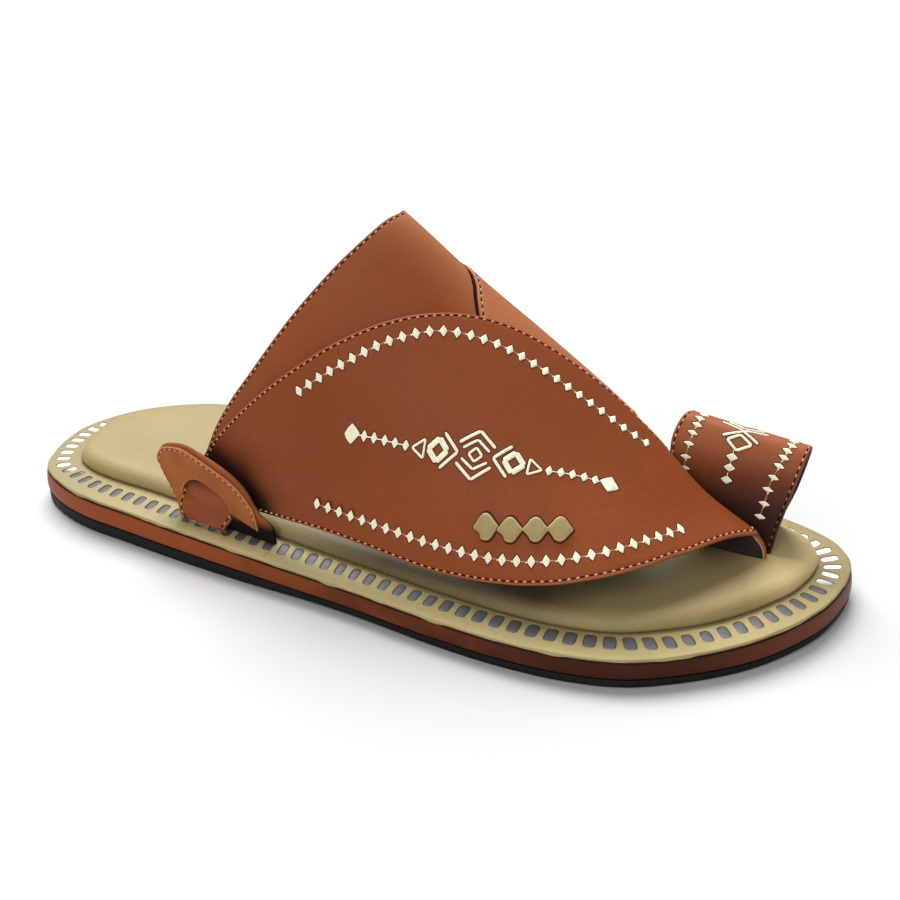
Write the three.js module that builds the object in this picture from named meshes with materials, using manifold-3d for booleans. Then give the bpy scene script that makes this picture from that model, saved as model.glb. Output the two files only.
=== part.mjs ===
import * as THREE from 'three';
import Module from 'manifold-3d';

const wasm = await Module();
wasm.setup();

// Right sandal, millimetres. +X runs to the toes, +Y to the big-toe side, +Z up from the floor.

// Outline of the sole seen from above: one row per section, heel tip to toe tip
const SOLE_OUTLINE = [
  { x: -139.3, lateral: 14.5, medial: 14.5 },
  { x: -136, lateral: -4.1, medial: 26.5 },
  { x: -130, lateral: -15.5, medial: 37.7 },
  { x: -120, lateral: -22.6, medial: 47.6 },
  { x: -105, lateral: -28.9, medial: 55.4 },
  { x: -85, lateral: -33.2, medial: 58.4 },
  { x: -60, lateral: -38, medial: 57.7 },
  { x: -30, lateral: -43.4, medial: 53 },
  { x: 0, lateral: -48.7, medial: 48.7 },
  { x: 30, lateral: -54.4, medial: 48.7 },
  { x: 55, lateral: -57.9, medial: 51.6 },
  { x: 75, lateral: -58.5, medial: 53.2 },
  { x: 90, lateral: -55.4, medial: 52.2 },
  { x: 105, lateral: -46.6, medial: 48.5 },
  { x: 118, lateral: -32.3, medial: 42.5 },
  { x: 128, lateral: -18.2, medial: 36 },
  { x: 135, lateral: -4.1, medial: 30 },
  { x: 139.3, lateral: 17.2, medial: 17.2 },
];

// Heights along the sole: ground line with arch and toe spring, top of the rubber, top of the rim
const SOLE_LEVELS = [
  { x: -140, ground: 0.6, rubber: 4.9, rim: 12.9 },
  { x: -126, ground: 0, rubber: 4.7, rim: 12.8 },
  { x: -80, ground: 0, rubber: 4.5, rim: 12.4 },
  { x: -42, ground: 0, rubber: 4.1, rim: 11.6 },
  { x: -10, ground: 0.7, rubber: 3.5, rim: 10.6 },
  { x: 12, ground: 0.6, rubber: 3.2, rim: 10.2 },
  { x: 40, ground: 0, rubber: 2.9, rim: 9.8 },
  { x: 70, ground: 0, rubber: 2.8, rim: 9.6 },
  { x: 100, ground: 0, rubber: 2.8, rim: 9.6 },
  { x: 118, ground: 0.4, rubber: 3.1, rim: 10 },
  { x: 130, ground: 1.1, rubber: 3.6, rim: 10.5 },
  { x: 140, ground: 2, rubber: 4.2, rim: 11.1 },
];

// Instep over the last: ridge of the section, its foot inside the sole edge, and its foot height
const INSTEP_SECTIONS = [
  { x: -80, ridgeY: 10.6, ridgeZ: 161, inset: 16.2, baseZ: 18.2 },
  { x: -60, ridgeY: 10.6, ridgeZ: 147, inset: 17.3, baseZ: 17.9 },
  { x: -40, ridgeY: 10.6, ridgeZ: 133, inset: 15.7, baseZ: 17.2 },
  { x: -20, ridgeY: 10.6, ridgeZ: 118.5, inset: 12.6, baseZ: 16.5 },
  { x: 0, ridgeY: 10.6, ridgeZ: 104, inset: 11.8, baseZ: 16 },
  { x: 20, ridgeY: 10.6, ridgeZ: 88.2, inset: 12.2, baseZ: 15.8 },
  { x: 40, ridgeY: 10.6, ridgeZ: 73.9, inset: 12.6, baseZ: 15.5 },
  { x: 60, ridgeY: 10.4, ridgeZ: 58.9, inset: 12.4, baseZ: 15.3 },
  { x: 80, ridgeY: 7.4, ridgeZ: 43, inset: 12.2, baseZ: 15.2 },
  { x: 95, ridgeY: 4, ridgeZ: 31.2, inset: 11.7, baseZ: 15.3 },
  { x: 110, ridgeY: 1.6, ridgeZ: 23.2, inset: 9.4, baseZ: 15.4 },
  { x: 120, ridgeY: 0.8, ridgeZ: 17.5, inset: 6, baseZ: 15.8 },
];
const SECTION_POWER = 1.38;
const RIDGE_SOFTNESS = 0.25;
const SLOT_DROP = 1.2;
const SLOT_REAR_X = 86;
const FOLD_START_X = 72;

// Edges of the straps on the instep: x along the foot, angle from the ridge, lateral side negative
const SADDLE_REAR_EDGE = [
  { x: -64.5, angle: -83 },
  { x: -59.8, angle: -78.5 },
  { x: -55.5, angle: -73 },
  { x: -49, angle: -66.8 },
  { x: -41.2, angle: -60.2 },
  { x: -31, angle: -50.5 },
  { x: -19.8, angle: -37.8 },
  { x: -10.8, angle: -24 },
  { x: -6.6, angle: -13.5 },
  { x: -3.8, angle: 0 },
];
const SADDLE_FRONT_EDGE = [
  { x: -41, angle: -86 },
  { x: -12, angle: -66 },
  { x: 8, angle: -50 },
  { x: 22, angle: -33 },
  { x: 30, angle: -16 },
  { x: 33, angle: 0 },
];
const LATERAL_UPPER_EDGE = [
  { x: -64, angle: -82 },
  { x: -58.2, angle: -78 },
  { x: -53.6, angle: -74 },
  { x: -47.2, angle: -69.6 },
  { x: -39.2, angle: -64.4 },
  { x: -31.5, angle: -59.6 },
  { x: -24.5, angle: -55 },
  { x: -18.5, angle: -50.9 },
  { x: -7.2, angle: -43 },
  { x: 3.2, angle: -35.2 },
  { x: 13, angle: -27.2 },
  { x: 23, angle: -19 },
  { x: 33.2, angle: -11.8 },
  { x: 44.2, angle: -5.8 },
  { x: 56, angle: -0.8 },
  { x: 65, angle: 2 },
  { x: 72.5, angle: 4 },
  { x: 79, angle: 9 },
  { x: 84.5, angle: 24 },
  { x: 88.5, angle: 50 },
  { x: 91, angle: 86 },
];
const LATERAL_LOWER_EDGE = [
  { x: -42, angle: -88.3 },
  { x: -33.8, angle: -87 },
  { x: -22.8, angle: -85.2 },
  { x: -7.8, angle: -83.8 },
  { x: 7, angle: -83.8 },
  { x: 18.5, angle: -84.4 },
  { x: 29.8, angle: -84.6 },
  { x: 40.8, angle: -83 },
  { x: 51, angle: -80.5 },
  { x: 59.5, angle: -77.6 },
  { x: 67.8, angle: -73.5 },
  { x: 75.2, angle: -68 },
  { x: 82, angle: -61.8 },
  { x: 88.4, angle: -54 },
  { x: 92.6, angle: -47 },
  { x: 97, angle: -40 },
  { x: 101, angle: -31.5 },
  { x: 105.2, angle: -20.8 },
  { x: 108.6, angle: -10.5 },
  { x: 111.2, angle: 0 },
  { x: 113.4, angle: 18 },
  { x: 114.8, angle: 46 },
  { x: 115.4, angle: 86 },
];
const MEDIAL_UPPER_EDGE = [
  { x: -64, angle: 82 },
  { x: -58.2, angle: 78 },
  { x: -47.2, angle: 69.6 },
  { x: -34.2, angle: 61.4 },
  { x: -21.5, angle: 52.8 },
  { x: -6.8, angle: 41 },
  { x: 5.5, angle: 26.5 },
  { x: 13.5, angle: 12 },
  { x: 18.2, angle: 1.6 },
  { x: 21.2, angle: -5 },
  { x: 23.6, angle: -12 },
  { x: 27, angle: -18.5 },
  { x: 33, angle: -22.5 },
  { x: 42, angle: -23.2 },
  { x: 52, angle: -19.5 },
  { x: 61, angle: -14 },
  { x: 69, angle: -8 },
];
const MEDIAL_LOWER_EDGE = [
  { x: -42, angle: 88.3 },
  { x: -33.8, angle: 87 },
  { x: -22.8, angle: 85.2 },
  { x: -7.8, angle: 83.8 },
  { x: 7, angle: 82.8 },
  { x: 18.8, angle: 81.4 },
  { x: 35.2, angle: 79 },
  { x: 47, angle: 74 },
  { x: 56, angle: 63 },
  { x: 63, angle: 45 },
  { x: 69, angle: 22 },
  { x: 72, angle: 6 },
];

// Strap walls: distance of the inner and outer face from the last
const SADDLE_WALL = { inner: 0, outer: 1.5 };
const MEDIAL_WALL = { inner: 0.6, outer: 2.2 };
const LATERAL_WALL = { inner: 1.2, outer: 3 };

// Tail of each side strap through its loop and out onto the rim
const TAIL_ROWS = [
  { rearX: -58, frontX: -38, rearInset: 15.4, frontInset: 13.8, rearHeight: 18, frontHeight: 18 },
  { rearX: -60.6, frontX: -43.6, rearInset: 13.4, frontInset: 13.8, rearHeight: 13.2, frontHeight: 11 },
  { rearX: -61.8, frontX: -47.2, rearInset: 10.2, frontInset: 10.8, rearHeight: 9.4, frontHeight: 5.4 },
  { rearX: -63, frontX: -47, rearInset: 7.2, frontInset: 8, rearHeight: 7.2, frontHeight: 3 },
  { rearX: -64.4, frontX: -47, rearInset: 6, frontInset: 6.4, rearHeight: 4.4, frontHeight: 1.8 },
  { rearX: -63.4, frontX: -46.6, rearInset: 6.2, frontInset: 4.8, rearHeight: 1.2, frontHeight: 1.3 },
];
const TAIL_HALF_WALL = 0.8;

// Toe loop from the toe slot over the big toe to the medial side of the footbed
const TOE_LOOP_ROWS = [
  { rearX: 92, frontX: 116, rearY: 9.8, frontY: 7.2, rearZ: 15.5, frontZ: 15.7 },
  { rearX: 87.5, frontX: 117.4, rearY: 10.8, frontY: 8, rearZ: 24, frontZ: 23.5 },
  { rearX: 83.4, frontX: 119.8, rearY: 12, frontY: 10.2, rearZ: 35, frontZ: 33 },
  { rearX: 82.8, frontX: 122, rearY: 13.6, frontY: 13, rearZ: 45.6, frontZ: 41.8 },
  { rearX: 84.8, frontX: 123.3, rearY: 18.4, frontY: 18, rearZ: 51.8, frontZ: 46.4 },
  { rearX: 86.4, frontX: 123.2, rearY: 25.2, frontY: 23.4, rearZ: 50.6, frontZ: 45.2 },
  { rearX: 87.2, frontX: 122, rearY: 31.2, frontY: 27.4, rearZ: 44, frontZ: 39 },
  { rearX: 88.5, frontX: 119.4, rearY: 34.4, frontY: 28.8, rearZ: 31, frontZ: 28 },
  { rearX: 90, frontX: 115.2, rearY: 35, frontY: 29, rearZ: 15.5, frontZ: 15.7 },
];
const TOE_LOOP_WALL = 1.8;

// Side loop seen square on: outer outline and arch, x along the foot, height above the rim
const SIDE_LOOP_OUTLINE = [
  { x: -66.8, height: 0.3 },
  { x: -67.8, height: 4.5 },
  { x: -70.4, height: 10 },
  { x: -73.4, height: 14.6 },
  { x: -75, height: 18.5 },
  { x: -72.6, height: 22.4 },
  { x: -68, height: 24.1 },
  { x: -63.4, height: 24.5 },
  { x: -57, height: 23.2 },
  { x: -50.5, height: 21.3 },
  { x: -44, height: 18.6 },
  { x: -39, height: 14.9 },
  { x: -35.8, height: 10.4 },
  { x: -34.4, height: 5.5 },
  { x: -33.6, height: 0.3 },
];
const SIDE_LOOP_ARCH = [
  { x: -43.2, height: 0.3 },
  { x: -44.2, height: 4.5 },
  { x: -46, height: 9 },
  { x: -49, height: 11.4 },
  { x: -53.5, height: 13.3 },
  { x: -58, height: 14.3 },
  { x: -61.5, height: 13.2 },
  { x: -63.9, height: 10.6 },
  { x: -64.6, height: 6 },
  { x: -63.8, height: 0.3 },
];
const SIDE_LOOP_FACE = 7.8;
const SIDE_LOOP_WALL = 2.6;

// Four puffed diamonds on the lateral strap, tip to tip
const DIAMOND_CENTRES = [
  { x: 44, angle: -65 },
  { x: 50.8, angle: -63 },
  { x: 57.5, angle: -60 },
  { x: 63.8, angle: -56.8 },
];
const DIAMOND_ROW_STEP = { x: 1, angle: 0.45 };
const DIAMOND_HALF_WIDTH = 3.5;
const DIAMOND_HALF_HEIGHT = 4.1;
const DIAMOND_PUFF = 1.7;
const DIAMOND_ROUNDING = 1.25;
const DIAMOND_SIDES = 12;

// Dome of a puffed diamond: size and height as shares of the whole
const DIAMOND_LEVELS = [
  { size: 1, height: 0 },
  { size: 1, height: 0.3 },
  { size: 0.82, height: 0.72 },
  { size: 0.45, height: 0.95 },
];

// Layers of the sole
const SEAT = 0.3;
const RUBBER_INSET = 0.9;
const TREAD_INSET = 2.3;
const RUBBER_SHOULDER_SHARE = 0.35;
const RAND_INSET = 0.6;
const RAND_BULGE = 0.35;
const STRIP_OUTER_INSET = 3.2;
const STRIP_INNER_INSET = 11.6;
const STRIP_THICKNESS = 0.9;

// Section of the rim: inset from the sole edge and drop below the rim's top
const RIM_THICKNESS = 1.4;
const RIM_SECTION = [
  { inset: 0.4, drop: RIM_THICKNESS },
  { inset: 0, drop: 0.91 },
  { inset: 0, drop: 0.42 },
  { inset: 0.5, drop: 0 },
  { inset: 13.4, drop: 0 },
  { inset: 13.4, drop: RIM_THICKNESS },
];

// Windows punched in the rim
const WINDOW_COUNT = 120;
const WINDOW_INSET = 7.4;
const WINDOW_LENGTH = 6.2;
const WINDOW_WIDTH = 3.3;
const WINDOW_PHASE = 0.5;
const WINDOW_CUT_DEPTH = 5.4;

// Shoulder of the padded footbed: inset from the sole edge and height above the rim
const FOOTBED_SHOULDER = [
  { inset: 13.8, height: -1.4 },
  { inset: 13.8, height: 0.3 },
  { inset: 12, height: 0.3 },
  { inset: 11.6, height: 0.9 },
  { inset: 11.8, height: 2.3 },
  { inset: 12.9, height: 3.9 },
  { inset: 14.9, height: 5 },
  { inset: 18, height: 5.4 },
];

// Fineness of the surfaces
const SIDE_STATIONS = 32;
const TIP_CROWDING = 0.45;
const SADDLE_GRID = { columns: 24, rows: 5 };
const MEDIAL_GRID = { columns: 22, rows: 7 };
const LATERAL_GRID = { columns: 34, rows: 8 };
const TAIL_GRID = { columns: 10, rows: 3 };
const TOE_LOOP_GRID = { columns: 22, rows: 4 };
const OUTLINE_DIVISIONS = 2000;
const WINDOW_RING_DIVISIONS = 4000;
const INSTEP_STEP = 0.5;
const INSTEP_LIMIT = 89.5;
const SHEET_STEP = 0.01;

const LEATHER = new THREE.MeshStandardMaterial({ color: 0x8c4626, roughness: 0.55, metalness: 0 });
const TAN = new THREE.MeshStandardMaterial({ color: 0xb9a56e, roughness: 0.6, metalness: 0 });
const RUBBER = new THREE.MeshStandardMaterial({ color: 0x191c1e, roughness: 0.7, metalness: 0 });
const SILVER = new THREE.MeshStandardMaterial({ color: 0x8c8c92, roughness: 0.35, metalness: 0.6 });

// Smooth curve through one column of a table, without overshoot
function column(rows, name) {
  const last = rows.length - 1;
  const steps = [];
  for (let i = 0; i < last; i++) {
    steps.push((rows[i + 1][name] - rows[i][name]) / (rows[i + 1].x - rows[i].x));
  }
  const slopes = [steps[0]];
  for (let i = 1; i < last; i++) {
    const product = steps[i - 1] * steps[i];
    slopes.push(product <= 0 ? 0 : (2 * product) / (steps[i - 1] + steps[i]));
  }
  slopes.push(steps[last - 1]);
  return (x) => {
    const inside = THREE.MathUtils.clamp(x, rows[0].x, rows[last].x);
    let i = 0;
    while (i < last - 1 && rows[i + 1].x < inside) {
      i++;
    }
    const span = rows[i + 1].x - rows[i].x;
    const t = (inside - rows[i].x) / span;
    const rise = t * t * (3 - 2 * t);
    const lead = t * (1 - t) * (1 - t) * slopes[i];
    const tail = t * t * (t - 1) * slopes[i + 1];
    return rows[i][name] * (1 - rise) + rows[i + 1][name] * rise + (lead + tail) * span;
  };
}

const groundAt = column(SOLE_LEVELS, 'ground');
const rubberAt = column(SOLE_LEVELS, 'rubber');
const rimAt = column(SOLE_LEVELS, 'rim');
const lateralEdgeAt = column(SOLE_OUTLINE, 'lateral');
const medialEdgeAt = column(SOLE_OUTLINE, 'medial');

// Closed outline curve: heel tip, lateral side, toe tip, medial side
function outlineCurve() {
  const points = SOLE_OUTLINE.map((row) => new THREE.Vector3(row.x, row.lateral, 0));
  const back = SOLE_OUTLINE.slice(1, -1).reverse();
  for (const row of back) {
    points.push(new THREE.Vector3(row.x, row.medial, 0));
  }
  return new THREE.CatmullRomCurve3(points, true, 'centripetal');
}

const OUTLINE = outlineCurve();
OUTLINE.arcLengthDivisions = OUTLINE_DIVISIONS;

function outlinePoint(share, inset) {
  const point = OUTLINE.getPointAt(share);
  const along = OUTLINE.getTangentAt(share);
  return new THREE.Vector2(point.x - along.y * inset, point.y + along.x * inset);
}

// Share of the outline's length at the toe tip
function toeShare() {
  let best = 0;
  for (let i = 1; i < OUTLINE_DIVISIONS; i++) {
    const share = i / OUTLINE_DIVISIONS;
    if (OUTLINE.getPointAt(share).x > OUTLINE.getPointAt(best).x) {
      best = share;
    }
  }
  return best;
}

const TOE_SHARE = toeShare();
const SHARES = [];
for (const [from, to] of [[0, TOE_SHARE], [TOE_SHARE, 1]]) {
  for (let i = 0; i < SIDE_STATIONS; i++) {
    const even = i / SIDE_STATIONS;
    const crowded = even - (TIP_CROWDING * Math.sin(2 * Math.PI * even)) / (2 * Math.PI);
    SHARES.push(from + (to - from) * crowded);
  }
}

function soleRing(inset, heightAt) {
  return SHARES.map((share) => {
    const point = outlinePoint(share, inset);
    return new THREE.Vector3(point.x, point.y, heightAt(point.x));
  });
}

function meshGeometry(points, triangles) {
  const geometry = new THREE.BufferGeometry();
  const positions = new Float32Array(points.length * 3);
  points.forEach((point, i) => point.toArray(positions, i * 3));
  geometry.setAttribute('position', new THREE.BufferAttribute(positions, 3));
  geometry.setIndex(triangles);
  return geometry;
}

// Body through a stack of sole rings, closed by rungs across the sole or by joining last ring to first
function ringBody(rings, hollow) {
  const count = SHARES.length;
  const points = rings.flat();
  const triangles = [];
  const pairs = hollow ? rings.length : rings.length - 1;
  for (let k = 0; k < pairs; k++) {
    const low = k * count;
    const high = ((k + 1) % rings.length) * count;
    for (let j = 0; j < count; j++) {
      const next = (j + 1) % count;
      triangles.push(low + j, low + next, high + next);
      triangles.push(low + j, high + next, high + j);
    }
  }
  if (!hollow) {
    const top = (rings.length - 1) * count;
    for (let j = 0; j < SIDE_STATIONS; j++) {
      const a = j;
      const b = j + 1;
      const c = (count - j - 1) % count;
      const d = (count - j) % count;
      triangles.push(top + a, top + b, top + c);
      triangles.push(c, b, a);
      triangles.push(top + a, top + c, top + d);
      triangles.push(d, c, a);
    }
  }
  return meshGeometry(points, withoutSlivers(triangles));
}

function withoutSlivers(triangles) {
  const kept = [];
  for (let i = 0; i < triangles.length; i += 3) {
    const [a, b, c] = triangles.slice(i, i + 3);
    if (a !== b && b !== c && a !== c) {
      kept.push(a, b, c);
    }
  }
  return kept;
}

function signedVolume(geometry) {
  const position = geometry.getAttribute('position');
  const index = geometry.getIndex();
  const a = new THREE.Vector3();
  const b = new THREE.Vector3();
  const c = new THREE.Vector3();
  let volume = 0;
  for (let i = 0; i < index.count; i += 3) {
    a.fromBufferAttribute(position, index.getX(i));
    b.fromBufferAttribute(position, index.getX(i + 1));
    c.fromBufferAttribute(position, index.getX(i + 2));
    volume += a.dot(b.cross(c)) / 6;
  }
  return volume;
}

function facingOut(geometry) {
  if (signedVolume(geometry) < 0) {
    geometry.setIndex(Array.from(geometry.getIndex().array).reverse());
  }
  return geometry;
}

function toSolid(geometry) {
  const source = facingOut(geometry);
  const index = source.getIndex().array;
  const mesh = new wasm.Mesh({
    numProp: 3,
    vertProperties: new Float32Array(source.getAttribute('position').array),
    triVerts: new Uint32Array(index),
  });
  mesh.merge();
  return new wasm.Manifold(mesh);
}

function fromSolid(solid) {
  const mesh = solid.getMesh();
  const geometry = new THREE.BufferGeometry();
  geometry.setAttribute('position', new THREE.BufferAttribute(new Float32Array(mesh.vertProperties), 3));
  geometry.setIndex(Array.from(mesh.triVerts));
  return geometry;
}

// Sole layers from the floor up
function outsole() {
  const shoulder = (x) => THREE.MathUtils.lerp(groundAt(x), rubberAt(x), RUBBER_SHOULDER_SHARE);
  const rings = [
    soleRing(TREAD_INSET, groundAt),
    soleRing(RUBBER_INSET, shoulder),
    soleRing(RUBBER_INSET, rubberAt),
  ];
  return ringBody(rings, false);
}

function midsole() {
  const low = (x) => rubberAt(x) + SEAT;
  const high = (x) => rimAt(x) - RIM_THICKNESS - SEAT;
  const middle = (x) => (low(x) + high(x)) / 2;
  const groove = (x) => high(x) - STRIP_THICKNESS - SEAT;
  const rings = [
    soleRing(RUBBER_INSET, low),
    soleRing(RAND_INSET - RAND_BULGE, middle),
    soleRing(RAND_INSET, high),
    soleRing(STRIP_OUTER_INSET - SEAT, high),
    soleRing(STRIP_OUTER_INSET - SEAT, groove),
    soleRing(STRIP_INNER_INSET + SEAT, groove),
    soleRing(STRIP_INNER_INSET + SEAT, high),
  ];
  return ringBody(rings, false);
}

function silverStrip() {
  const top = (x) => rimAt(x) - RIM_THICKNESS - SEAT;
  const bottom = (x) => top(x) - STRIP_THICKNESS;
  const rings = [
    soleRing(STRIP_OUTER_INSET, bottom),
    soleRing(STRIP_OUTER_INSET, top),
    soleRing(STRIP_INNER_INSET, top),
    soleRing(STRIP_INNER_INSET, bottom),
  ];
  return ringBody(rings, true);
}

function rim() {
  const rings = RIM_SECTION.map((row) => soleRing(row.inset, (x) => rimAt(x) - row.drop));
  const sheet = toSolid(ringBody(rings, true));
  return fromSolid(sheet.subtract(windows()));
}

// Window cutter: a punched oblong, long side across the rim
function windowShape() {
  const length = WINDOW_LENGTH / 2;
  const width = WINDOW_WIDTH / 2;
  const shape = new THREE.Shape();
  shape.moveTo(-width, -length);
  shape.lineTo(width, -length);
  shape.lineTo(width, length);
  shape.lineTo(-width, length);
  return shape;
}

// Shares of the outline that space the windows evenly along their own ring
function windowShares() {
  const fine = WINDOW_RING_DIVISIONS;
  const lengths = [0];
  for (let i = 1; i <= fine; i++) {
    const step = outlinePoint(i / fine, WINDOW_INSET).distanceTo(outlinePoint((i - 1) / fine, WINDOW_INSET));
    lengths.push(lengths[i - 1] + step);
  }
  const shares = [];
  let k = 0;
  for (let i = 0; i < WINDOW_COUNT; i++) {
    const target = (lengths[fine] * (i + WINDOW_PHASE)) / WINDOW_COUNT;
    while (lengths[k + 1] < target) {
      k++;
    }
    shares.push((k + (target - lengths[k]) / (lengths[k + 1] - lengths[k])) / fine);
  }
  return shares;
}

function windows() {
  const depth = WINDOW_CUT_DEPTH;
  const shape = windowShape();
  const cutters = windowShares().map((share) => {
    const middle = outlinePoint(share, WINDOW_INSET);
    const along = OUTLINE.getTangentAt(share);
    const cutter = new THREE.ExtrudeGeometry(shape, { depth, bevelEnabled: false, steps: 1 });
    cutter.rotateZ(Math.atan2(along.y, along.x));
    cutter.translate(middle.x, middle.y, rimAt(middle.x) - RIM_THICKNESS / 2 - depth / 2);
    return toSolid(indexed(cutter));
  });
  return wasm.Manifold.union(cutters);
}

function indexed(geometry) {
  const bare = new THREE.BufferGeometry();
  bare.setAttribute('position', geometry.getAttribute('position'));
  const count = geometry.getAttribute('position').count;
  bare.setIndex(geometry.getIndex() ?? Array.from({ length: count }, (_, i) => i));
  return bare;
}

function footbed() {
  const rings = FOOTBED_SHOULDER.map((row) => soleRing(row.inset, (x) => rimAt(x) + row.height));
  return ringBody(rings, false);
}

// Instep surface of the last
const ridgeYAt = column(INSTEP_SECTIONS, 'ridgeY');
const ridgeZAt = column(INSTEP_SECTIONS, 'ridgeZ');
const insetAt = column(INSTEP_SECTIONS, 'inset');
const baseZAt = column(INSTEP_SECTIONS, 'baseZ');

function instepPoint(x, angle, folds) {
  const turn = THREE.MathUtils.degToRad(Math.abs(angle));
  const sine = Math.sin(turn);
  const softened = (sine * sine + RIDGE_SOFTNESS ** 2) / (1 + RIDGE_SOFTNESS ** 2);
  const across = sine * softened ** ((SECTION_POWER - 1) / 2);
  const up = Math.max(Math.cos(turn), 0) ** SECTION_POWER;
  const ridgeY = ridgeYAt(x);
  let foot = medialEdgeAt(x) - insetAt(x);
  if (angle < 0) {
    foot = lateralEdgeAt(x) + insetAt(x);
  } else if (folds) {
    const share = THREE.MathUtils.smoothstep(x, FOLD_START_X, SLOT_REAR_X);
    foot = THREE.MathUtils.lerp(foot, ridgeY + SLOT_DROP, share);
  }
  const z = baseZAt(x) + (ridgeZAt(x) - baseZAt(x)) * up;
  return new THREE.Vector3(x, ridgeY + (foot - ridgeY) * across, z);
}

function instepNormal(x, angle, folds) {
  const along = instepPoint(x + INSTEP_STEP, angle, folds).sub(instepPoint(x - INSTEP_STEP, angle, folds));
  const low = Math.max(angle - INSTEP_STEP, -INSTEP_LIMIT);
  const high = Math.min(angle + INSTEP_STEP, INSTEP_LIMIT);
  const across = instepPoint(x, high, folds).sub(instepPoint(x, low, folds));
  return along.cross(across).normalize();
}

// Closed sheet between two faces given over a grid
function sheetBody(grid, faceAt) {
  const { columns, rows } = grid;
  const points = [];
  for (const side of [0, 1]) {
    for (let i = 0; i <= columns; i++) {
      for (let j = 0; j <= rows; j++) {
        points.push(faceAt(i / columns, j / rows, side));
      }
    }
  }
  const layer = (columns + 1) * (rows + 1);
  const at = (i, j, side) => side * layer + i * (rows + 1) + j;
  const triangles = [];
  const quad = (a, b, c, d) => triangles.push(a, b, c, a, c, d);
  for (let i = 0; i < columns; i++) {
    for (let j = 0; j < rows; j++) {
      quad(at(i, j, 1), at(i + 1, j, 1), at(i + 1, j + 1, 1), at(i, j + 1, 1));
      quad(at(i, j, 0), at(i, j + 1, 0), at(i + 1, j + 1, 0), at(i + 1, j, 0));
    }
  }
  for (let i = 0; i < columns; i++) {
    quad(at(i, 0, 0), at(i + 1, 0, 0), at(i + 1, 0, 1), at(i, 0, 1));
    quad(at(i, rows, 1), at(i + 1, rows, 1), at(i + 1, rows, 0), at(i, rows, 0));
  }
  for (let j = 0; j < rows; j++) {
    quad(at(0, j, 1), at(0, j + 1, 1), at(0, j + 1, 0), at(0, j, 0));
    quad(at(columns, j, 0), at(columns, j + 1, 0), at(columns, j + 1, 1), at(columns, j, 1));
  }
  return facingOut(meshGeometry(points, triangles));
}

function edgeCurve(rows) {
  return new THREE.CatmullRomCurve3(rows.map((row) => new THREE.Vector3(row.x, row.angle, 0)));
}

// Strap between two edges drawn on the instep
function strap(lowerRows, upperRows, wall, grid, folds) {
  const lower = edgeCurve(lowerRows);
  const upper = edgeCurve(upperRows);
  return sheetBody(grid, (u, v, face) => {
    const spot = lower.getPointAt(u).lerp(upper.getPointAt(u), v);
    const offset = face === 1 ? wall.outer : wall.inner;
    const normal = instepNormal(spot.x, spot.y, folds);
    return instepPoint(spot.x, spot.y, folds).addScaledVector(normal, offset);
  });
}

function mirrored(rows) {
  const other = rows.slice(0, -1).reverse();
  return rows.concat(other.map((row) => ({ x: row.x, angle: -row.angle })));
}

// Tail surface: side is -1 for the lateral strap and 1 for the medial strap
function tail(side) {
  const edgeAt = side < 0 ? lateralEdgeAt : medialEdgeAt;
  const path = (end) => {
    const points = TAIL_ROWS.map((row) => {
      const x = row[end + 'X'];
      return new THREE.Vector3(x, edgeAt(x) - side * row[end + 'Inset'], rimAt(x) + row[end + 'Height']);
    });
    return new THREE.CatmullRomCurve3(points);
  };
  const rear = path('rear');
  const front = path('front');
  const spotAt = (u, v) => rear.getPoint(u).lerp(front.getPoint(u), v);
  return sheetBody(TAIL_GRID, (u, v, face) => {
    const down = spotAt(Math.min(u + SHEET_STEP, 1), v).sub(spotAt(Math.max(u - SHEET_STEP, 0), v));
    const across = spotAt(u, 1).sub(spotAt(u, 0));
    const normal = down.cross(across).normalize();
    return spotAt(u, v).addScaledVector(normal, face === 1 ? TAIL_HALF_WALL : -TAIL_HALF_WALL);
  });
}

function upper() {
  const saddleFront = mirrored(SADDLE_FRONT_EDGE);
  const saddleRear = mirrored(SADDLE_REAR_EDGE);
  const saddle = strap(saddleFront, saddleRear, SADDLE_WALL, SADDLE_GRID, false);
  const medialStrap = strap(MEDIAL_LOWER_EDGE, MEDIAL_UPPER_EDGE, MEDIAL_WALL, MEDIAL_GRID, false);
  const lateralStrap = strap(LATERAL_LOWER_EDGE, LATERAL_UPPER_EDGE, LATERAL_WALL, LATERAL_GRID, true);
  const pieces = [saddle, medialStrap, lateralStrap, tail(-1), tail(1)].map(toSolid);
  return fromSolid(wasm.Manifold.union(pieces));
}

function toeLoop() {
  const path = (end) => {
    const place = (row) => new THREE.Vector3(row[end + 'X'], row[end + 'Y'], row[end + 'Z']);
    return new THREE.CatmullRomCurve3(TOE_LOOP_ROWS.map(place));
  };
  const rear = path('rear');
  const front = path('front');
  const spotAt = (u, v) => rear.getPoint(u).lerp(front.getPoint(u), v);
  return sheetBody(TOE_LOOP_GRID, (u, v, face) => {
    const along = spotAt(Math.min(u + SHEET_STEP, 1), v).sub(spotAt(Math.max(u - SHEET_STEP, 0), v));
    const across = spotAt(u, 1).sub(spotAt(u, 0));
    const inward = along.cross(across).normalize();
    inward.z = u === 0 || u === 1 ? 0 : inward.z;
    return spotAt(u, v).addScaledVector(inward, face * TOE_LOOP_WALL);
  });
}

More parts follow.
